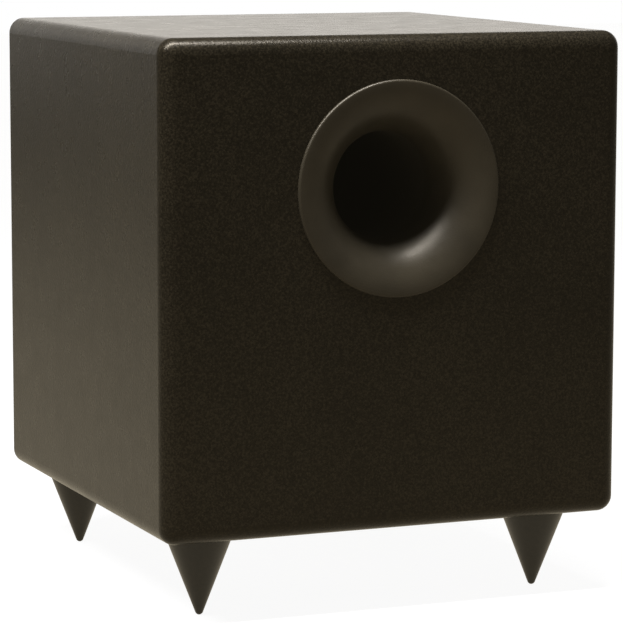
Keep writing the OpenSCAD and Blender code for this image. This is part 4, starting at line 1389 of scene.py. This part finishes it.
@dataclass
class Amplifier:
    """The plate at the rear with everything on it."""

    dresser: Dresser
    ink: float = 0.06 * MM
    coil_height: float = 34.0 * MM
    coil_hole: float = 14.0 * MM
    coil_wraps: int = 40
    wrap_depth: float = 0.35 * MM
    hexagon_reach: float = 5.8 * MM
    tick: float = 2.2 * MM
    knob_gap: float = 3.0 * MM

    def build(self) -> None:
        """Dresses the solids, then adds print, pointers and small parts."""
        give = self.dresser.dress
        give(PLATE, "amp_plate")
        give(FOAM, "amp_gasket")
        give(BLACK_OXIDE, "amp_screws")
        give(SINK, "heat_sink")
        give(MASK, "amp_circuit_board")
        give(SLEEVE, "filter_capacitors")
        give(NICKEL, "rca_shells", "inlet_pins")
        give(JACK, "rca_insulators")
        give(ZINC, "control_pots", "volume_shaft", "crossover_shaft", "slide_switch_bodies")
        give(KNOB, "volume_knob", "crossover_knob")
        give(LEVER, "phase_lever", "mode_lever")
        give(SWITCH, "rocker_frame", "mains_inlet", "fuse_drawer")
        give(PADDLE, "power_rocker")
        give(FUSE_GLASS, "fuse")
        give(BLUE_LENS, "status_led")
        self.transformer()
        self.pointers()
        self.scales()
        self.board_parts()
        self.leads()

    def transformer(self) -> None:
        """The taped ring, its pads and dish, and the bolt that holds them to the plate."""
        low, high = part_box("power_transformer")
        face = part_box("amp_plate")[0].y
        centre = Vector(((low.x + high.x) / 2, face, (low.z + high.z) / 2))
        reach, pad, tall, soft = (high.x - low.x) / 2, 2 * MM, self.coil_height, 6 * MM
        hole = self.coil_hole
        end = -pad - tall
        corners_at = ((reach, -1, -pad, -1), (hole, 1, -pad, -1), (hole, 1, end, 1), (reach, -1, end, 1))
        profile: Profile = []
        for turn, (r, side, along, lift) in enumerate(corners_at):
            round_at = (r + side * soft, along + lift * soft)
            profile += arc(round_at, (soft, soft), turn * 90.0, turn * 90.0 + 90.0, 8)
        mesh = turned(profile, Axis.Y, centre, self.coil_wraps * 6)
        for vert in mesh.verts:
            around = math.atan2(vert.co.z - centre.z, vert.co.x - centre.x)
            ridge = 0.5 + 0.5 * math.cos(around * self.coil_wraps)
            vert.co -= vert.normal * (ridge * self.wrap_depth)
        piece = finished(mesh, "transformer_ring", TAPE, 60.0)
        self.dresser.stand_for(piece, "transformer_winding", "cabinet", "power_transformer")
        near, far, edge = -0.1 * MM, -1.9 * MM, reach - 2 * MM
        pads = turned([(hole, near), (hole, far), (edge, far), (edge, near)], Axis.Y, centre, 64)
        piece = finished(pads, "transformer_pad", FOAM)
        self.dresser.stand_for(piece, "transformer_winding", "cabinet", "power_transformer")
        dish: Profile = [(3.1 * MM, end - 1.6 * MM), (20 * MM, end - 1.6 * MM), (24 * MM, end - 0.6 * MM)]
        dish += [(24 * MM, end - 0.1 * MM), (19.5 * MM, end - 0.4 * MM), (3.1 * MM, end - 0.4 * MM)]
        clamp = turned(dish, Axis.Y, centre, 64)
        outside = high.y - face
        self.hexagon(clamp, centre, outside - 3.9 * MM, outside)
        self.hexagon(clamp, centre, end - 6.2 * MM, end - 1.7 * MM)
        bolt: Profile = [(0.0, outside - 3.9 * MM), (3 * MM, outside - 3.9 * MM)]
        bolt += [(3 * MM, low.y - face + 0.5 * MM), (2.5 * MM, low.y - face), (0.0, low.y - face)]
        shank = finished(turned(bolt, Axis.Y, centre, 32), "shank", ZINC)
        piece = joined("transformer_bolt", [finished(clamp, "clamp", ZINC), shank], ZINC)
        self.dresser.stand_for(piece, "transformer_winding", "cabinet", "power_transformer")

    def hexagon(self, mesh: Mesh, centre: Vector, start: float, end: float) -> None:
        """Adds a hexagon head or nut with broken edges.

        Args:
            mesh: The mesh that takes it.
            centre: A point on the axis.
            start: Where it starts along +Y from the centre.
            end: Where it ends.
        """
        middle = centre + Vector((0, (start + end) / 2, 0))
        place = Matrix.Translation(middle) @ Matrix.Rotation(math.pi / 2, 4, "X")
        size = self.hexagon_reach
        made = bmesh.ops.create_cone(
            mesh, cap_ends=True, segments=6, radius1=size, radius2=size, depth=abs(end - start), matrix=place
        )
        break_edges(mesh, made["verts"], 0.4 * MM)

    def pointers(self) -> None:
        """A white line let into the face of each knob."""
        for node, body in (("volume_knob", "volume_control"), ("crossover_knob", "crossover_control")):
            low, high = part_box(node)
            middle = (low + high) / 2
            mesh = bmesh.new()
            start = Vector((middle.x - 0.45 * MM, high.y - 0.75 * MM, middle.z + 2.5 * MM))
            stop = Vector((middle.x + 0.45 * MM, high.y - 0.15 * MM, high.z - 1.8 * MM))
            block(mesh, start, stop, 0.1 * MM)
            piece = finished(mesh, f"{node}_pointer", WHITE_INK)
            self.dresser.stand_for(piece, "lever_plastic", body)

    def scales(self) -> None:
        """Printed ticks round the knobs, and lines that group the sockets."""
        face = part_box("amp_plate")[1].y
        mesh = bmesh.new()
        for node in ("volume_knob", "crossover_knob"):
            low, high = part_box(node)
            middle = Vector(((low.x + high.x) / 2, face, (low.z + high.z) / 2))
            reach = (high.z - low.z) / 2 + self.knob_gap
            for i in range(11):
                angle = math.radians(-150 + 30 * i)
                length = self.tick * (1.5 if i in (0, 5, 10) else 1.0)
                turn = Matrix.Rotation(angle, 4, "Y")
                at = middle + turn @ Vector((0, self.ink / 2, reach))
                half = Vector((0.2 * MM, self.ink / 2, length / 2))
                block(mesh, at - half, at + half, 0.0, turn)
        for node in ("phase_lever", "mode_lever"):
            low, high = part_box(node)
            for shift in (-7 * MM, 11 * MM):
                at = Vector((low.x + shift, face, (low.z + high.z) / 2))
                block(mesh, at - Vector((0.25 * MM, 0, 2 * MM)), at + Vector((0.25 * MM, self.ink, 2 * MM)))
        low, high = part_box("rca_shells")
        for z in (low.z - 5 * MM, high.z + 5 * MM):
            end = Vector((high.x + 3 * MM, face + self.ink, z + 0.4 * MM))
            block(mesh, Vector((low.x - 3 * MM, face, z)), end)
        piece = finished(mesh, "plate_print", WHITE_INK)
        self.dresser.stand_for(piece, "lever_plastic", "cabinet")

    def board_parts(self) -> None:
        """Rows of small parts on the inner side of the board."""
        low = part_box("amp_circuit_board")[0]
        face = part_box("filter_capacitors")[1].y
        mesh = bmesh.new()
        for row in range(3):
            for column in range(9):
                x = low.x + 34 * MM + column * 6.5 * MM
                z = low.z + (9 + 9 * row) * MM
                tall = (3.2 + 0.9 * ((row * 5 + column * 3) % 4)) * MM
                far = Vector((x + 3.4 * MM, face - 0.05 * MM, z + 5.6 * MM))
                block(mesh, Vector((x, face - tall, z)), far, 0.4 * MM)
        piece = finished(mesh, "board_small_parts", SLEEVE)
        self.dresser.stand_for(piece, "capacitor_sleeve", "cabinet")

    def leads(self) -> None:
        """The two leads from the board to the driver's tabs."""
        low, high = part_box("speaker_leads")
        parts = []
        radius = 1.4 * MM
        from_y = high.y - radius
        to_y = low.y + radius
        for side in (-1, 1):
            top = Vector((low.x + 5.4 * MM + side * 4 * MM, from_y, high.z))
            foot = Vector((side * 7 * MM, to_y, low.z))
            points = [foot, foot + Vector((0, 0, 12 * MM)), foot + Vector((-2 * MM, 2 * MM, 32 * MM))]
            points += [foot.lerp(top, 0.5) + Vector((0, 0, 2 * MM)), top - Vector((-2 * MM, 2 * MM, 34 * MM))]
            points += [top - Vector((0, 0, 12 * MM)), top]
            parts.append(tube(f"lead_{side}", points, radius, LEAD_RED, 4))
        piece = joined("driver_leads", parts, LEAD_RED)
        self.dresser.stand_for(piece, "lead_insulation", "cabinet", "speaker_leads")


# ------------------------------------------------------------------ studio


@dataclass
class Studio:
    """Pale floor, soft light and the camera."""

    lens: float = 180.98
    yaw: float = 22.45
    pitch: float = 7.79
    roll: float = 0.11
    distance: float = 2.031
    target: tuple[float, float, float] = (0.0054, -0.007, 0.164)
    floor_size: float = 14.0
    pool: tuple[float, float] = (0.3, 3.2)
    pool_light: tuple[float, float] = (0.92, 0.20)
    warm: Colour = (1.0, 0.88, 0.66)
    sky: tuple[float, float] = (0.16, 1.7)
    glow_from: tuple[float, float] = (0.38, 0.92)
    glow_spread: tuple[float, float] = (0.62, 0.97)
    key_place: tuple[float, float, float] = (-0.44, -0.25, 1.15)
    key_size: tuple[float, float] = (1.25, 0.18)
    key_power: float = 58.0
    black: Colour = (-0.0035, -0.0030, -0.0020)

    def build(self) -> None:
        """Sets up everything that isn't the object."""
        view = bpy.context.scene.view_settings
        view.view_transform = "Standard"
        view.use_curve_mapping = True
        view.curve_mapping.black_level = self.black
        view.curve_mapping.update()
        self.floor()
        self.surroundings()
        self.key()
        self.camera()

    def floor(self) -> None:
        """A pale seamless floor in a pool of warm light, clear from below so that the driver shows."""
        mesh = bmesh.new()
        bmesh.ops.create_grid(mesh, x_segments=8, y_segments=8, size=self.floor_size / 2)
        graph = Graph("studio_floor")
        cloud = graph.noise(0.8, 2.0)
        graph.set(
            Base_Color=graph.ramp(cloud, [(0.3, (0.10, 0.10, 0.10)), (0.7, (0.12, 0.12, 0.12))]),
            Roughness=0.9,
            Emission_Color=(1.0, 1.0, 1.0),
            Emission_Strength=0.93,
        )
        distance = graph.add("ShaderNodeVectorMath", operation="LENGTH")
        graph.feed(distance.inputs[0], graph.coords)
        pool = graph.add("ShaderNodeEmission")
        graph.feed(pool.inputs["Color"], (*self.warm, 1.0))
        near, far = self.pool_light
        graph.feed(pool.inputs["Strength"], graph.spread(distance.outputs["Value"], near, far, *self.pool))
        path = graph.add("ShaderNodeLightPath")
        mix = graph.add("ShaderNodeMixShader")
        graph.feed(mix.inputs["Fac"], path.outputs["Is Camera Ray"])
        graph.feed(mix.inputs[1], pool.outputs["Emission"])
        graph.feed(mix.inputs[2], graph.shader.outputs["BSDF"])
        from_below = graph.add("ShaderNodeMixShader")
        graph.feed(from_below.inputs["Fac"], graph.add("ShaderNodeNewGeometry").outputs["Backfacing"])
        graph.feed(from_below.inputs[1], mix.outputs["Shader"])
        graph.feed(from_below.inputs[2], graph.add("ShaderNodeBsdfTransparent").outputs["BSDF"])
        out = next(n for n in graph.tree.nodes if n.type == "OUTPUT_MATERIAL")
        graph.feed(out.inputs["Surface"], from_below.outputs["Shader"])
        data = bpy.data.meshes.new("studio_floor")
        mesh.to_mesh(data)
        mesh.free()
        data.materials.append(graph.material)
        made = bpy.data.objects.new("studio_floor", data)
        bpy.context.scene.collection.objects.link(made)

    def surroundings(self) -> None:
        """A white room that glows low down behind the object and is dim elsewhere."""
        world = bpy.data.worlds.new("studio")
        bpy.context.scene.world = world
        world.use_nodes = True
        tree = world.node_tree
        tree.nodes.clear()
        link = tree.links.new

        def fade(socket: Socket, limits: Sequence[float], values: Sequence[float]) -> Socket:
            """Maps a direction's component smoothly to a strength."""
            made = tree.nodes.new("ShaderNodeMapRange")
            made.interpolation_type = "SMOOTHSTEP"
            link(socket, made.inputs["Value"])
            for name, number in zip(("From Min", "From Max", "To Min", "To Max"), (*limits, *values)):
                made.inputs[name].default_value = number
            return made.outputs["Result"]

        out = tree.nodes.new("ShaderNodeOutputWorld")
        seen = tree.nodes.new("ShaderNodeBackground")
        seen.inputs["Color"].default_value = (1.0, 1.0, 1.0, 1.0)
        light = tree.nodes.new("ShaderNodeBackground")
        light.inputs["Color"].default_value = (1.0, 0.955, 0.89, 1.0)
        place = tree.nodes.new("ShaderNodeTexCoord")
        split = tree.nodes.new("ShaderNodeSeparateXYZ")
        link(place.outputs["Generated"], split.inputs["Vector"])
        toward = tree.nodes.new("ShaderNodeVectorMath")
        toward.operation = "DOT_PRODUCT"
        link(place.outputs["Generated"], toward.inputs[0])
        toward.inputs[1].default_value = (*self.glow_from, 0.0)
        behind = fade(toward.outputs["Value"], self.glow_spread, (0.0, 1.0))
        low_down = fade(split.outputs["Z"], (0.17, 0.40), (1.0, 0.0))
        glow = tree.nodes.new("ShaderNodeMath")
        glow.operation = "MULTIPLY"
        link(behind, glow.inputs[0])
        link(low_down, glow.inputs[1])
        link(fade(glow.outputs[0], (0.0, 1.0), self.sky), light.inputs["Strength"])
        path = tree.nodes.new("ShaderNodeLightPath")
        mix = tree.nodes.new("ShaderNodeMixShader")
        link(path.outputs["Is Camera Ray"], mix.inputs["Fac"])
        link(light.outputs["Background"], mix.inputs[1])
        link(seen.outputs["Background"], mix.inputs[2])
        link(mix.outputs["Shader"], out.inputs["Surface"])

    def key(self) -> None:
        """A strip light over the left half of the front."""
        data = bpy.data.lights.new("key", "AREA")
        data.shape = "RECTANGLE"
        data.size, data.size_y = self.key_size
        data.energy = self.key_power
        made = bpy.data.objects.new("key", data)
        made.location = self.key_place
        bpy.context.scene.collection.objects.link(made)

    def camera(self) -> None:
        """A long lens, slightly above the object and to its left."""
        yaw, pitch, roll = (math.radians(a) for a in (self.yaw, self.pitch, self.roll))
        ahead = Vector((math.sin(yaw) * math.cos(pitch), math.cos(yaw) * math.cos(pitch), -math.sin(pitch)))
        right = ahead.cross(Vector((0, 0, 1))).normalized()
        up = right.cross(ahead)
        side = math.cos(roll) * right + math.sin(roll) * up
        top = math.cos(roll) * up - math.sin(roll) * right
        data = bpy.data.cameras.new("camera")
        data.lens = self.lens
        data.sensor_width = 36.0
        data.clip_start, data.clip_end = 0.05, 60.0
        made = bpy.data.objects.new("camera", data)
        turn = Matrix((side, top, -ahead)).transposed().to_4x4()
        made.matrix_world = Matrix.Translation(Vector(self.target) - ahead * self.distance) @ turn
        bpy.context.scene.collection.objects.link(made)
        bpy.context.scene.camera = made


def main() -> None:
    """Builds the classes in order."""
    logging.basicConfig(level=logging.INFO, format="%(name)s: %(message)s")
    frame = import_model()
    dresser = Dresser(frame["nodes"])
    Studio().build()
    for part in (Cabinet(dresser), ReflexPort(dresser), Feet(dresser), Driver(dresser), Amplifier(dresser)):
        LOG.info("building %s", type(part).__name__)
        part.build()


if __name__ == "__main__":
    main()
